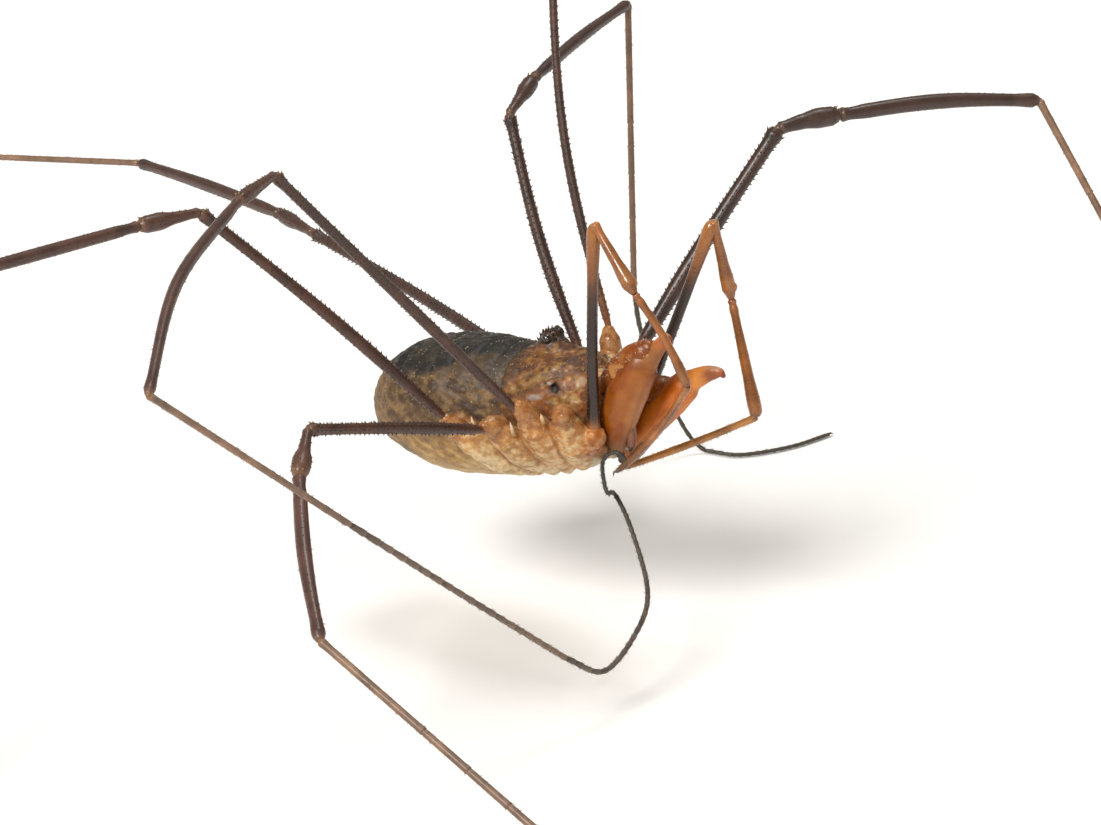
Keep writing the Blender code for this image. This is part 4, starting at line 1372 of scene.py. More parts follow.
# ------------------------------------------------------------ limbs
TO_FLOOR = None
FOOT_HEIGHT = 0.25 * math.cos(math.pi / 8)
LEGS = {
    "left_1": ((1, 1), [
        ("femur", [(6.85, 65.3, 50.3)]),
        ("patella", [(1.70, 55.0, 5.4)]),
        ("tibia", [(5.50, 50.8, -1.6)]),
        ("metatarsus", [(6.43, -5.2, -53.6)]),
        ("tarsus", [(3.4, 12, -60), (3.0, 30, -52), (1.9, 34, TO_FLOOR),
                    (2.2, 32, 0.0)])]),
    "left_2": ((2, 1), [
        ("femur", [(10.15, 143.3, 65.8)]),
        ("patella", [(1.90, 45, 10)]),
        ("tibia", [(9.20, 40, 18)]),
        ("metatarsus", [(9.20, 40, -38)]),
        ("tarsus", [(6.5, 36, -68), (4.8, 34, -60), (4.6, 30, TO_FLOOR),
                    (2.4, 26, 0.0)])]),
    "left_3": ((3, 1), [
        ("femur", [(6.80, 153.9, 57.4)]),
        ("patella", [(1.50, 94.9, 22.7)]),
        ("tibia", [(5.40, 94.5, 6.8)]),
        ("metatarsus", [(7.70, -43.6, -84.1)]),
        ("tarsus", [(2.03, 104.6, -63.2), (2.84, 54.6, -66.4),
                    (1.05, 33.8, TO_FLOOR), (1.0, 14, 0.0),
                    (1.5, 55, 0.0), (1.5, 72, 0.0)])]),
    "left_4": ((4, 1), [
        ("femur", [(8.80, 166.7, 11.3)]),
        ("patella", [(1.75, 155.1, 1.3)]),
        ("tibia", [(7.20, 158.6, -3.3)]),
        ("metatarsus", [(10.0, -175.3, -6.3)]),
        ("tarsus", [(4.6, 178, -56), (3.0, 175, TO_FLOOR),
                    (3.0, 172, 0.0)])]),
    "right_2": ((2, -1), [
        ("femur", [(10.20, -112.7, 46.5)]),
        ("patella", [(1.90, -79.9, -1.3)]),
        ("tibia", [(4.30, -72.4, -6.7), (4.00, -63.1, -16.7)]),
        ("metatarsus", [(8.00, 83.0, -38.3)]),
        ("tarsus_upper", [(4.50, 76.3, -38.7), (3.89, 72.2, -38.6)]),
        ("tarsus_lower", [(1.35, 69.2, -29.3), (1.59, 89.4, 18.8),
                          (1.26, 108.5, 27.8), (1.79, 136.4, 33.3),
                          (1.10, 146.3, 31.3)])]),
    "right_3": ((3, -1), [
        ("femur", [(6.40, -102.0, 14.8)]),
        ("patella", [(1.50, -64.4, -25.4)]),
        ("tibia", [(5.20, -49.9, -23.1)]),
        ("metatarsus", [(7.63, -3.0, -27.1)]),
        ("tarsus", [(4.2, -12.0, TO_FLOOR), (3.0, -20.0, 0.0)])]),
    "right_4": ((4, -1), [
        ("femur", [(8.80, -131.3, 44.7)]),
        ("patella", [(1.75, -108.6, 0.8)]),
        ("tibia", [(7.20, -99.4, 2.3)]),
        ("metatarsus", [(9.60, 110.6, -71.2)]),
        ("tarsus", [(4.0, -60.0, -24.0), (1.6, -80.0, TO_FLOOR),
                    (2.8, -84.0, 0.0)])]),
}
# how far a part bows at its middle, right and up as the camera sees it, mm
BOWS = {
    "femur_left_2": (-0.40, -0.02), "femur_left_3": (-0.17, -0.05),
    "femur_right_4": (0.07, 0.07), "tibia_right_3": (-0.10, 0.0),
    "femur_left_4": (0.05, 0.06), "femur_right_3": (0.0, 0.04),
    "tibia_left_1": (0.0, 0.16), "patella_left_1": (0.0, 0.05),
    "tibia_left_4": (0.0, 0.06), "tibia_left_3": (-0.04, 0.06),
    "femur_left_1": (-0.04, 0.03),
}
STARTS = {"right_3": (-0.03, -0.09), "right_2": (-0.09, -0.07),
          "left_2": (0.06, -0.03)}
SEEN_RIGHT = np.array([math.cos(math.radians(32)),
                       math.sin(math.radians(32)), 0.0])
SEEN_UP = np.array([-math.sin(math.radians(32)) * math.sin(math.radians(21)),
                    math.cos(math.radians(32)) * math.sin(math.radians(21)),
                    math.cos(math.radians(21))])


def bowed(node, a, b):
    """Points from a to b along a gentle bow."""
    right, up = BOWS.get(node, (0.0, 0.0))
    lift = SEEN_RIGHT * right + SEEN_UP * up
    return [a + (b - a) * f + lift * math.sin(math.pi * f) ** 1.2
            for f in np.linspace(0, 1, 21)]


# radius in mm of femur, patella, tibia, metatarsus, tarsus
GIRTH = {
    "left_1": (0.200, 0.255, 0.192, 0.098, 0.080),
    "left_2": (0.115, 0.155, 0.105, 0.080, 0.065),
    "left_3": (0.152, 0.215, 0.155, 0.090, 0.072),
    "left_4": (0.150, 0.200, 0.165, 0.088, 0.074),
    "right_2": (0.138, 0.170, 0.136, 0.082, 0.073),
    "right_3": (0.150, 0.235, 0.172, 0.098, 0.074),
    "right_4": (0.150, 0.215, 0.150, 0.092, 0.075),
}
DARK = (82, 51, 38)
MEMBRANE = (138, 96, 66)
# painted light and shade: how much darker or lighter each leg is painted,
# upper parts and lower parts; the far left legs darkest
LEG_PAINTED_SHADING = {"left_1": (0.80, 0.95), "left_2": (0.92, 0.98),
        "left_3": (0.82, 0.88), "left_4": (0.85, 0.92),
        "right_2": (0.98, 1.02), "right_3": (1.03, 0.91),
        "right_4": (1.0, 0.95)}


def heading(length, angle, elevation):
    a, e = math.radians(angle), math.radians(elevation)
    return np.array([math.cos(e) * math.cos(a), math.cos(e) * math.sin(a),
                     math.sin(e)]) * length


def limb_points(start, parts, floor_radius):
    """Corner points of each part. Where the frame's foot lies on the
    floor, the slimmer foot drawn here lies on it too."""
    here = np.array(start, float)
    result = []
    for part, runs in parts:
        pts = [here]
        for length, angle, elevation in runs:
            if elevation is TO_FLOOR:
                drop = FOOT_HEIGHT - here[2]
                elevation = math.degrees(math.asin(drop / length))
            here = here + heading(length, angle, elevation)
            if elevation == 0.0:
                here = np.array([here[0], here[1], FOOT_HEIGHT])
            pts.append(here)
        result.append((part, pts))
    low = floor_radius * 1.12
    return [(part, [np.array([p[0], p[1], low]) if abs(
        p[2] - FOOT_HEIGHT) < 0.02 else p for p in pts])
        for part, pts in result]


def stations(length, pitch, extra=()):
    n = max(int(length / pitch), 6)
    s = np.concatenate([np.linspace(0, length, n), np.asarray(extra)])
    return np.unique(np.clip(s, 0, length))


def rows_of_teeth(p, line, radius, angles, start, stop, gap, height, base,
                  colour, tip, lean, rng, jitter=0.15):
    for a in angles:
        s = np.arange(start, stop, gap) + rng.uniform(0, gap)
        s = s + rng.normal(0, gap * jitter, len(s))
        s = s[(s > start) & (s < stop)]
        if len(s) == 0:
            continue
        P, T, U, W = line.frames(s)
        for i in range(len(s)):
            b = a + rng.normal(0, 0.08)
            d = U[i] * math.cos(b) + W[i] * math.sin(b)
            h = height * rng.uniform(0.75, 1.15)
            r = float(radius(s[i]))
            p.cone(P[i] + d * (r - base * 0.5), d + T[i] * lean, h, base,
                   colour, tip, 5)


def hairs(p, line, radius, start, stop, count, length, colour, rng,
          lean=0.9, thick=0.0065):
    s = np.sort(rng.uniform(start, stop, count))
    P, T, U, W = line.frames(s)
    for i in range(count):
        b = rng.uniform(0, 2 * np.pi)
        d = U[i] * math.cos(b) + W[i] * math.sin(b)
        r = float(radius(s[i]))
        p.cone(P[i] + d * r * 0.9, d + T[i] * lean,
               length * rng.uniform(0.6, 1.2), thick, colour, colour, 3)


def profile(length, knots):
    """Radius by length through (place in mm, radius) pairs."""
    xs = np.array([k[0] for k in knots])
    ys = np.array([k[1] for k in knots])

    def radius(s):
        s = np.asarray(s, float)
        i = np.clip(np.searchsorted(xs, s) - 1, 0, len(xs) - 2)
        t = np.clip((s - xs[i]) / (xs[i + 1] - xs[i]), 0, 1)
        t = t * t * (3 - 2 * t)
        return ys[i] * (1 - t) + ys[i + 1] * t
    return radius


def shade(line, s, base, spots, seed):
    """Colour at each station: a base, broken up, and (place, width,
    colour, strength) spots."""
    P = line.at(s)
    n = fbm(P, 0.5, 3, seed)
    C = mix(np.asarray(base, float) * 0.86, np.asarray(base, float) * 1.14,
            step(-0.5, 0.5, n))
    for place, width, colour, strength in spots:
        g = np.exp(-((s - place) / width) ** 2) * strength
        C = mix(C, colour, g)
    return np.clip(C, 0, 255)


def femur(name, line, r, seed, slim, pale_start, slot="leg_dark"):
    L = line.length
    rng = np.random.default_rng(seed)
    rad = profile(L, [(0, r * 0.58), (0.22, r * 0.66), (0.34, r * 0.68),
                      (0.75, r * 0.88), (L * 0.35, r * 1.04),
                      (L * 0.8, r * 0.90), (L - 0.45, r * 0.92),
                      (L - 0.17, r * 1.12), (L - 0.03, r * 0.88),
                      (L, r * 0.55)])
    s = stations(L, 0.10, [0.05, 0.11, 0.28, 0.34, L - 0.3, L - 0.24,
                           L - 0.17, L - 0.1, L - 0.06, L - 0.03])
    spots = [(0.0, 0.34, (164, 104, 56), 0.95),
             (L, 0.12, (142, 110, 90), 0.55),
             (L - 0.30, 0.10, (58, 40, 38), 0.5)]
    if pale_start:
        spots.append((0.25, pale_start, (176, 108, 58), 0.85))
    C = shade(line, s, DARK, spots, seed)
    p = Piece()
    p.tube(line, s, rad(s), C, 16)
    rows = (0.0, 0.75, -0.75, 1.55, -1.55, 2.5, -2.5)
    gap = 0.160 if not slim else 0.185
    size = 0.085 if not slim else 0.065
    rows_of_teeth(p, line, rad, rows, 0.5, L - 0.2, gap, size, 0.022,
                  (92, 66, 60), (104, 80, 66), 0.75, rng)
    # stronger teeth round the far end
    P, T, U, W = line.frames(np.array([L - 0.16]))
    for a in (0.0, 0.6, -0.6, 2.4, -2.4):
        d = U[0] * math.cos(a) + W[0] * math.sin(a)
        p.cone(P[0] + d * r * 1.0, d * 0.8 + T[0], 0.11, 0.032,
               (96, 70, 58), (160, 124, 96), 6)
    return p


def patella(name, line, r, rf, seed):
    L = line.length
    rng = np.random.default_rng(seed)
    rad = profile(L, [(0, rf * 0.55), (0.07, rf * 0.86), (0.22, rf * 0.80),
                      (L * 0.38, rf * 0.98), (L * 0.68, r * 1.02),
                      (L - 0.22, r * 0.98), (L - 0.08, r * 0.78),
                      (L, r * 0.45)])
    s = stations(L, 0.06, [0.03, L - 0.05, L - 0.02])
    C = shade(line, s, (90, 60, 48), [
        (0.0, 0.12, (150, 112, 86), 0.55), (L, 0.10, (152, 112, 80), 0.6),
        (L * 0.72, 0.3, (106, 74, 60), 0.5)], seed)
    p = Piece()
    p.tube(line, s, rad(s), C, 18)
    rows_of_teeth(p, line, rad, (0.0, 0.8, -0.8, 1.6, -1.6), 0.2, L - 0.15,
                  0.2, 0.05, 0.020, (84, 58, 50), (60, 44, 40), 0.5, rng)
    P, T, U, W = line.frames(np.array([L - 0.12]))
    for a in (0.0, 0.5, -0.5):
        d = U[0] * math.cos(a) + W[0] * math.sin(a)
        p.cone(P[0] + d * r * 0.72, d * 0.8 + T[0], 0.12, 0.04,
               (130, 92, 66), (176, 140, 104), 6)
    # soft joint at the near end
    V, F = shell_ball(line.at(0.02)[0], (rf * 0.62,) * 3, 8, 12)
    p.add(V, F, MEMBRANE)
    return p


def tibia(name, line, r, rp, seed, toothed):
    L = line.length
    rng = np.random.default_rng(seed)
    rad = profile(L, [(0, r * 0.60), (0.08, r * 0.98), (0.26, r * 0.84),
                      (0.8, r * 1.0), (L * 0.45, r * 1.04),
                      (L - 0.7, r * 0.86), (L - 0.22, r * 0.98),
                      (L - 0.05, r * 0.72), (L, r * 0.45)])
    s = stations(L, 0.10, [0.04, 0.08, 0.16, L - 0.16, L - 0.09, L - 0.03])
    C = shade(line, s, (90, 61, 51), [
        (0.0, 0.10, (152, 110, 78), 0.6), (L, 0.10, (152, 120, 94), 0.6),
        (L * 0.5, L * 0.3, (94, 63, 54), 0.6)], seed)
    p = Piece()
    p.tube(line, s, rad(s), C, 16)
    V, F = shell_ball(line.at(0.02)[0], (r * 0.66,) * 3, 8, 12)
    p.add(V, F, MEMBRANE)
    if toothed:
        rows_of_teeth(p, line, rad, (0.0, 1.0, -1.0, 2.2, -2.2), 0.3,
                      L - 0.2, 0.24, 0.045, 0.016, (80, 56, 50),
                      (56, 42, 40), 0.7, rng)
    hairs(p, line, rad, 0.2, L - 0.1, int(L * 24), 0.10, (92, 72, 58), rng)
    return p


def metatarsus(name, line, r, seed):
    L = line.length
    rng = np.random.default_rng(seed)
    knots = [(0, r * 0.75), (0.06, r * 1.18), (0.22, r * 1.0)]
    # false joints along the shaft
    marks = [L * f for f in (0.42, 0.60, 0.76, 0.88)]
    for m in marks:
        knots += [(m - 0.07, r * 0.98), (m, r * 1.08), (m + 0.02, r * 0.84),
                  (m + 0.08, r * 0.94)]
    knots += [(L - 0.08, r * 0.95), (L, r * 0.7)]
    rad = profile(L, knots)
    extra = [0.03, 0.06, 0.12]
    for m in marks:
        extra += [m - 0.04, m, m + 0.012, m + 0.025, m + 0.05]
    s = stations(L, 0.14, extra)
    spots = [(0.0, 0.10, (176, 134, 96), 0.6)]
    spots += [(m + 0.02, 0.03, (170, 136, 104), 0.4) for m in marks]
    C = shade(line, s, (154, 116, 88), spots, seed)
    C = mix(C, (128, 98, 78), step(0.35, 1.0, s / L) * 0.45)
    p = Piece()
    p.tube(line, s, rad(s), C, 12)
    V, F = shell_ball(line.at(0.01)[0], (r * 0.85,) * 3, 8, 10)
    p.add(V, F, MEMBRANE)
    hairs(p, line, rad, 0.1, L - 0.05, int(L * 34), 0.09, (104, 84, 66),
          rng)
    return p


def tarsus(name, line, r, seed, base=(92, 78, 66), claw=True,
           taper=(1.0, 0.72), step_length=(0.42, 0.20), from_share=0.0,
           to_share=1.0, end_painted_shade=0.0):
    L = line.length
    rng = np.random.default_rng(seed)
    s, rr, cc = [], [], []
    at = 0.0
    base = np.asarray(base, float)
    while at < L - 0.02:
        f = at / L
        g = from_share + (to_share - from_share) * f
        size = step_length[0] + (step_length[1] - step_length[0]) * g
        size = min(size, L - at)
        if L - at - size < 0.08:
            size = L - at
        w = r * (taper[0] + (taper[1] - taper[0]) * f)
        # painted shade: the far part of the foot is painted darker by the
        # given share
        b = base * (1 + 0.07 * rng.normal()) \
            * (1 - end_painted_shade * float(step(0.45, 0.9, f)))
        for q, k, tone in ((0.0, 0.80, 0.70), (0.16, 0.90, 0.95),
                           (0.55, 0.96, 1.0), (0.86, 1.08, 1.05),
                           (0.97, 1.02, 1.20)):
            s.append(at + size * q)
            rr.append(w * k)
            cc.append(b * tone)
        at += size
    s.append(L)
    rr.append(r * taper[1] * 0.5)
    cc.append(base)
    s, rr = np.array(s), np.array(rr)
    C = np.clip(np.array(cc), 0, 255)
    p = Piece()
    p.tube(line, s, rr, C, 10)

    def rad(v):
        return r * (taper[0] + (taper[1] - taper[0]) * v / L)
    hairs(p, line, rad, 0.0, L - 0.02, int(L * 46), 0.085, (74, 62, 52),
          rng, 1.1, 0.0055)
    if claw:
        P, T, U, W = line.frames(np.array([L - 0.01]))
        e = r * taper[1]
        down = -U[0]
        pts = catmull([P[0] - T[0] * 0.02, P[0] + T[0] * 0.07 + U[0] * 0.02,
                       P[0] + T[0] * 0.15 + down * 0.01,
                       P[0] + T[0] * 0.18 + down * e * 0.9], 4)
        pts = [np.array([q[0], q[1], max(q[2], 0.012)]) for q in pts]
        hook = Line(pts)
        u = hook.S / hook.length
        p.tube(hook, hook.S, 0.036 * (1 - u) + 0.006, (48, 36, 30), 7)
    return p


# the last stretch of the groomed foot, body frame, up to the mouth
GROOM_END = [(3.45, -0.78, -1.97), (3.46, -0.85, -1.53),
             (3.59, -0.95, -1.13), (3.84, -1.00, -0.91),
             (4.09, -0.98, -0.88), (4.16, -0.86, -1.05)]


def legs():
    seed = 100
    for name, ((number, side), parts) in LEGS.items():
        rf, rp, rt, rm, ra = GIRTH[name]
        start = out(trochanter(number, side))
        lines = limb_points(start, parts, ra)
        toothed = name not in ("left_2", "right_2")
        slim = name in ("left_2", "right_2")
        upper_end = None
        # each part's colours are scaled by its leg's painted light and shade
        for part, pts in lines:
            seed += 1
            node = "%s_%s" % (part, name)
            if part == "femur":
                d = unit(pts[1] - pts[0])
                h, v = STARTS.get(name, (0.0, 0.0))
                line = Line(bowed(node, pts[0] + d * 0.10 + SEEN_RIGHT * h
                                  + SEEN_UP * v, pts[1]))
                pale = {"left_1": 0.3, "left_2": 1.3, "left_3": 0.35}.get(
                    name, 0.0)
                p = femur(node, line, rf, seed, slim, pale)
                p.C = [c * LEG_PAINTED_SHADING[name][0] for c in p.C]
                p.build("skin_" + node, LEG_MAT, [node], "leg_dark")
            elif part == "patella":
                p = patella(node, Line(bowed(node, *pts)), rp, rf, seed)
                p.C = [c * LEG_PAINTED_SHADING[name][0] for c in p.C]
                p.build("skin_" + node, LEG_MAT, [node], "leg_dark")
            elif part == "tibia":
                if len(pts) == 2:
                    pts = bowed(node, *pts)
                else:
                    pts = catmull(pts, 8)
                p = tibia(node, Line(pts), rt, rp, seed, toothed)
                p.C = [c * LEG_PAINTED_SHADING[name][0] for c in p.C]
                p.build("skin_" + node, LEG_MAT, [node], "leg_dark")
            elif part == "metatarsus":
                p = metatarsus(node, Line(pts), rm, seed)
                p.C = [c * LEG_PAINTED_SHADING[name][1] for c in p.C]
                p.build("skin_" + node, TAN_MAT, [node], "leg_tan")
            elif part == "tarsus_upper":
                path = catmull(pts, 10)
                p = tarsus(node, Line(path), ra * 1.1, seed,
                           (140, 116, 98), False, (1.0, 0.9), (0.55, 0.30))
                p.build("skin_" + node, FOOT_MAT, [node], "foot")
            elif part == "tarsus_lower":
                mouth = [out(np.array(q)) for q in GROOM_END]
                path = catmull(pts + mouth, 10)
                # painted shade: the end of this foot, at the mouth, is painted
                # darker
                p = tarsus(node, Line(path), ra, seed, (98, 86, 74), True,
                           (1.0, 0.70), (0.30, 0.16), end_painted_shade=0.40)
                p.build("skin_" + node, FOOT_MAT, [node], "foot")
            else:
                path = catmull(pts, 10)
                path = [np.array([q[0], q[1], max(q[2], ra * 1.12)])
                        for q in path]
                base = (86, 76, 60) if name == "left_3" else (104, 88, 74)
                p = tarsus(node, Line(path), ra, seed, base)
                p.C = [c * LEG_PAINTED_SHADING[name][1] for c in p.C]
                p.build("skin_" + node, FOOT_MAT, [node], "foot")


# ------------------------------------------------------------ palps
PALPS = {
    "right": ((3.60, -1.15, -0.36), [
        ("femur", [(5.19, 158.1, 87.0)]),
        ("patella", [(0.43, -10.5, 26.1), (1.81, -6.3, -49.0)]),
        ("tibia", [(2.69, 13.1, -60.4)]),
        ("tarsus", [(2.41, 163.7, -48.4)])], (3.66, -0.20, 4.59)),
    "left": ((3.60, 1.15, -0.36), [
        ("femur", [(4.83, 42.5, 70.3)]),
        ("patella", [(0.42, 32.0, 10.0), (1.78, 49.5, -78.5)]),
        ("tibia", [(3.05, -22.2, -70.2)]),
        ("tarsus", [(2.97, -160.7, -27.5)])], (3.11, 1.00, 4.17)),
}
ORANGE, ORANGE_DEEP, PALP_DARK = (178, 112, 50), (140, 82, 38), \
    (47, 27, 16)


def palps():
    seed = 400
    for word, (at, parts, tip) in PALPS.items():
        lines = dict(limb_points(out(np.array(at)), parts, 0.1))
        start = lines["femur"][0]
        knee = (lines["patella"][0] * 0.62 + lines["patella"][1] * 0.38
                + SEEN_UP * 0.06)
        ankle = lines["patella"][2]
        heel = lines["tibia"][1]
        right = word == "right"
        nudge = {"right": ((0.03, 0.06), (-0.10, -0.10), (-0.09, 0.04)),
                 "left": ((-0.06, 0.10), (-0.17, -0.20), (-0.14, -0.12))}
        knee, ankle, heel = (
            q + SEEN_RIGHT * h + SEEN_UP * v
            for q, (h, v) in zip((knee, ankle, heel), nudge[word]))
        for part in ("femur", "patella", "tibia", "tarsus"):
            seed += 1
            rng = np.random.default_rng(seed)
            node = "palp_%s_%s" % (part, word)
            p = Piece()
            if part == "femur":
                d = unit(knee - start)
                # leans a little back before it meets the knee
                side = SEEN_RIGHT * (-0.04 if right else 0.03)
                a = start - d * 0.06
                b = knee - d * 0.02
                V, F = shell_ball(start + d * 0.01, (0.19, 0.19, 0.20))
                p.add(V, F, (178, 112, 56))
                line = Line([a + (b - a) * f
                             + side * math.sin(math.pi * f)
                             for f in np.linspace(0, 1, 15)])
                L = line.length
                rad = profile(L, [(0, 0.12), (0.12, 0.17), (0.35, 0.165),
                                  (L * 0.35, 0.135), (L * 0.7, 0.135),
                                  (L - 0.55, 0.165), (L - 0.22, 0.175),
                                  (L - 0.06, 0.14), (L, 0.08)])
                s = stations(L, 0.08, [L - 0.03, L - 0.12, 0.06])
                C = shade(line, s, PALP_DARK, [], seed)
                u = s / L
                C = mix(C, mix(ORANGE_DEEP, ORANGE, step(0.7, 1.0, u)),
                        step(0.58, 0.80, u))
                C = mix(C, (46, 28, 22), (1 - step(0.1, 0.40, u)) * 0.6)
                C = mix(C, (166, 100, 48), 1 - step(0.24, 0.62, s))
                p.tube(line, s, rad(s), C, 16)
                rows_of_teeth(p, line, rad, (2.4, 3.14, -2.4), 0.25,
                              L * 0.5, 0.20, 0.05, 0.018, (84, 54, 48),
                              (130, 96, 70), 0.3, rng)
                hairs(p, line, rad, 0.3, L, int(L * 26), 0.08,
                      (120, 84, 56), rng)
            elif part == "patella":
                line = Line([knee, ankle])
                d = unit(ankle - knee)
                L = line.length
                rad = profile(L, [(0, 0.090), (0.05, 0.130), (0.30, 0.110),
                                  (L * 0.5, 0.135), (L * 0.76, 0.175),
                                  (L * 0.86, 0.185), (L - 0.09, 0.12),
                                  (L, 0.07)])
                s = stations(L, 0.05)
                C = shade(line, s, (160, 98, 48), [
                    (0.0, 0.12, (190, 130, 76), 0.6),
                    (L * 0.80, 0.22, (182, 122, 68), 0.6),
                    (L, 0.08, (142, 84, 44), 0.6)], seed)
                p.tube(line, s, rad(s), C, 18)
                # the swelling on the inner side
                c = line.at(L * 0.84)[0] + SEEN_RIGHT * 0.09
                V, F = shell_tube([c - d * 0.22 - SEEN_RIGHT * 0.05,
                                   c, c + d * 0.10 - SEEN_RIGHT * 0.03],
                                  [0.06, 0.13, 0.10], 4, 16)
                p.add(V, F, (186, 126, 70))
                hairs(p, line, rad, 0.3, L - 0.1, 60, 0.09, (150, 104, 60),
                      rng)
            elif part == "tibia":
                a, b = ankle, heel
                d = unit(b - a)
                up = unit(np.array([0, 0, 1.0]) - d * d[2])
                lean = SEEN_RIGHT * (0.07 if right else -0.02)
                line = Line([a + (b - a) * f + (up * 0.03 + lean)
                             * math.sin(math.pi * f)
                             for f in np.linspace(0, 1, 13)])
                L = line.length
                if right:
                    knots = [(0, 0.07), (0.05, 0.105), (0.12, 0.085),
                             (0.22, 0.105), (0.45, 0.092),
                             (L * 0.6, 0.098), (L - 0.35, 0.125),
                             (L - 0.10, 0.12), (L, 0.08)]
                else:
                    knots = [(0, 0.08), (0.05, 0.115), (0.14, 0.095),
                             (0.24, 0.115), (0.45, 0.105),
                             (L * 0.6, 0.135), (L - 0.35, 0.175),
                             (L - 0.10, 0.165), (L, 0.09)]
                rad = profile(L, knots)
                s = stations(L, 0.06, [0.02, 0.05, 0.08, 0.12, 0.17,
                                       L - 0.05, L - 0.02])
                C = shade(line, s, (160, 96, 46), [
                    (0.0, 0.12, (136, 82, 42), 0.7),
                    (L - 0.15, 0.30, (180, 118, 62), 0.5),
                    (L, 0.08, (126, 76, 40), 0.7)], seed)
                p.tube(line, s, rad(s), C, 18)
                hairs(p, line, rad, 0.1, L - 0.05, 120, 0.09,
                      (150, 104, 60), rng)
            else:
                a = heel
                b = np.array(tip) + SHIFT
                sag = np.array([0, 0, -0.13 if right else -0.05])
                out_x = SEEN_RIGHT * (0.10 if right else 0.0)
                path = [a + (b - a) * f
                        + (sag + out_x) * math.sin(math.pi * f) ** 0.8
                        for f in np.linspace(0, 1, 21)]
                line = Line(path)
                L = line.length
                rad = profile(L, [(0, 0.075), (0.06, 0.100), (0.30, 0.088),
                                  (L * 0.6, 0.095), (L - 0.25, 0.080),
                                  (L - 0.04, 0.055), (L, 0.03)])
                s = stations(L, 0.07, [0.03, L - 0.02])
                C = shade(line, s, (168, 106, 58) if right
                          else (192, 130, 64), [
                    (0.0, 0.10, (134, 86, 48), 0.7),
                    (L, 0.25, (104, 70, 50), 0.8)], seed)
                p.tube(line, s, rad(s), C, 16)
                hairs(p, line, rad, 0.1, L - 0.05, 260, 0.09,
                      (150, 110, 70), rng)
                # rows of black grains along the inner side
                rows_of_teeth(p, line, rad, (2.6, -2.6), 0.4, L - 0.2,
                              0.07, 0.022, 0.014, (52, 36, 28),
                              (40, 28, 24), 0.2, rng)
                P, T, U, W = line.frames(np.array([L - 0.01]))
                pts2 = catmull([P[0] - T[0] * 0.03,
                                P[0] + T[0] * 0.08 + U[0] * 0.02,
                                P[0] + T[0] * 0.16 - U[0] * 0.06], 5)
                hook = Line(pts2)
                u = hook.S / hook.length
                p.tube(hook, hook.S, 0.036 * (1 - u) + 0.006,
                       (40, 28, 24), 7)
            slot = "palp_dark" if part == "femur" else "palp"
            p.build("skin_" + node, PALP_MAT, [node], slot)


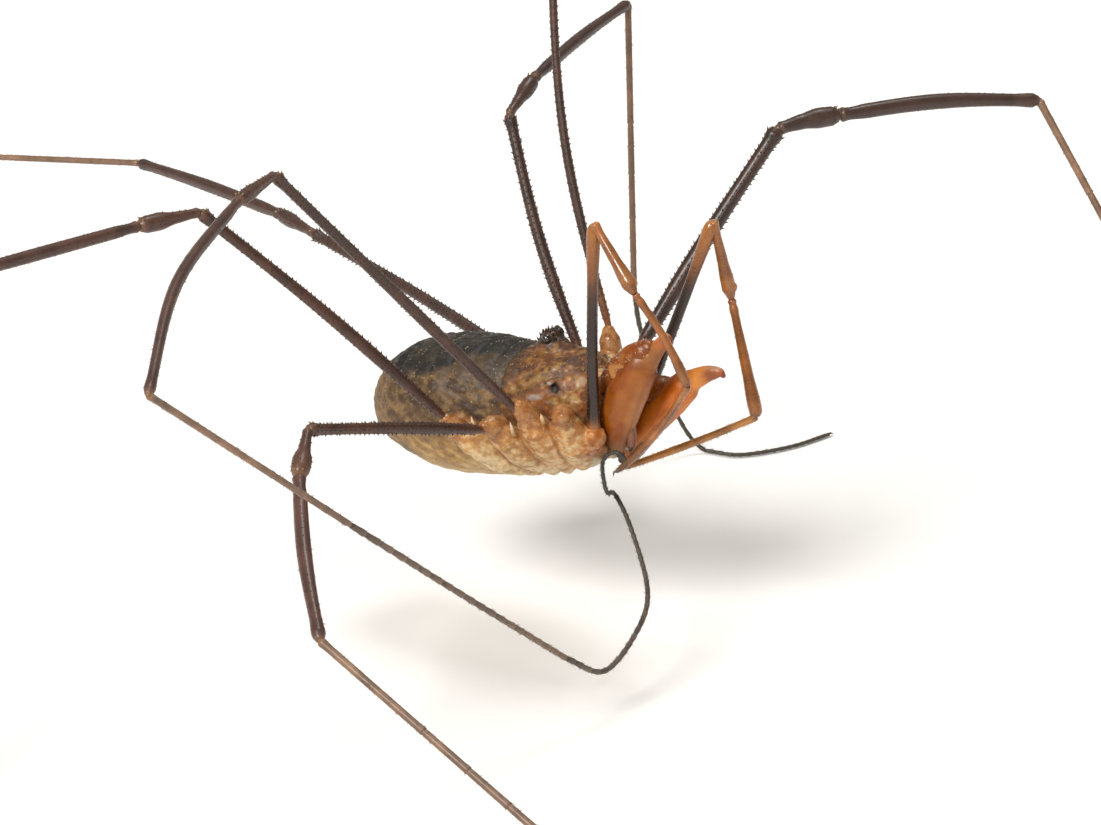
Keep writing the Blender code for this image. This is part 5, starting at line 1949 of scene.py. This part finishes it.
# ------------------------------------------------------------ the studio
def studio():
    az, el, dist, scale = math.radians(32.0), math.radians(21.0), 111.0, 40.0
    d = np.array([math.sin(az) * math.cos(el), -math.cos(az) * math.cos(el),
                  math.sin(el)])
    r = np.array([math.cos(az), math.sin(az), 0.0])
    u = np.array([-math.sin(az) * math.sin(el), math.cos(az) * math.sin(el),
                  math.cos(el)])
    target = ORIGIN + (550.5 - 495) / scale * r - (412.5 - 405) / scale * u
    where = (target + dist * d) * MM
    data = bpy.data.cameras.new("camera")
    data.sensor_fit = 'HORIZONTAL'
    data.sensor_width = 36.0
    data.lens = scale * dist / 1101 * 36.0
    data.clip_start = 0.005
    data.clip_end = 5.0
    cam = bpy.data.objects.new("camera", data)
    bpy.context.scene.collection.objects.link(cam)
    rot = Matrix(((r[0], u[0], d[0]), (r[1], u[1], d[1]),
                  (r[2], u[2], d[2])))
    cam.matrix_world = Matrix.Translation(Vector(where)) @ rot.to_4x4()
    bpy.context.scene.camera = cam

    # pale floor, its rim curving up far behind
    n, size = 48, 0.60
    V, F = [], []
    for j in range(n + 1):
        for i in range(n + 1):
            x = -size + 2 * size * i / n
            y = -size + 2 * size * j / n
            rr = math.hypot(x, y)
            V.append((x, y, -0.00001 + max(0.0, rr - 0.42) ** 2 * 0.9))
    for j in range(n):
        for i in range(n):
            a = j * (n + 1) + i
            F.append((a, a + 1, a + n + 2, a + n + 1))
    mesh = bpy.data.meshes.new("floor")
    mesh.from_pydata(V, [], F)
    mesh.shade_smooth()
    floor = bpy.data.objects.new("floor", mesh)
    bpy.context.scene.collection.objects.link(floor)
    mat = bpy.data.materials.new("floor_card")
    mat.use_nodes = True
    nt = mat.node_tree
    shader = nt.nodes["Principled BSDF"]
    tex = nt.nodes.new('ShaderNodeTexNoise')
    where_n = nt.nodes.new('ShaderNodeTexCoord')
    tex.inputs["Scale"].default_value = 60.0
    nt.links.new(where_n.outputs["Object"], tex.inputs["Vector"])
    ramp = nt.nodes.new('ShaderNodeMix')
    ramp.data_type = 'RGBA'
    ramp.inputs[6].default_value = (0.86, 0.85, 0.84, 1)
    ramp.inputs[7].default_value = (0.90, 0.89, 0.88, 1)
    nt.links.new(tex.outputs["Fac"], ramp.inputs[0])
    nt.links.new(ramp.outputs[2], shader.inputs["Base Color"])
    shader.inputs["Roughness"].default_value = 0.75
    mesh.materials.append(mat)

    def lamp(name, azimuth, elevation, distance, spread, power, colour):
        """A soft light, its spread in degrees as the model sees it."""
        a, e = math.radians(azimuth), math.radians(elevation)
        data = bpy.data.lights.new(name, 'SUN')
        data.angle = math.radians(spread)
        data.energy = power
        data.color = colour
        ob = bpy.data.objects.new(name, data)
        direction = Vector((math.sin(a) * math.cos(e),
                            -math.cos(a) * math.cos(e), math.sin(e)))
        ob.location = Vector(ORIGIN * MM) + direction * distance
        ob.rotation_euler = direction.to_track_quat('Z', 'Y').to_euler()
        bpy.context.scene.collection.objects.link(ob)

    # key lamp from the front left of the camera, above it
    lamp("key", 32 - 38, 42, 0.30, 20.0, 3.05, (1.0, 0.99, 0.965))
    lamp("front", 32 + 5, 33, 0.30, 6.0, 0.36, (1.0, 0.985, 0.96))
    lamp("top", 190, 70, 0.30, 19.0, 1.05, (1.0, 1.0, 1.0))
    world = bpy.data.worlds.new("studio")
    world.use_nodes = True
    back = world.node_tree.nodes["Background"]
    back.inputs["Color"].default_value = (1.0, 0.935, 0.84, 1)
    back.inputs["Strength"].default_value = 0.33
    bpy.context.scene.world = world
    bpy.context.scene.view_settings.view_transform = 'Standard'


body()
eyes()
jaws()
legs()
palps()
studio()
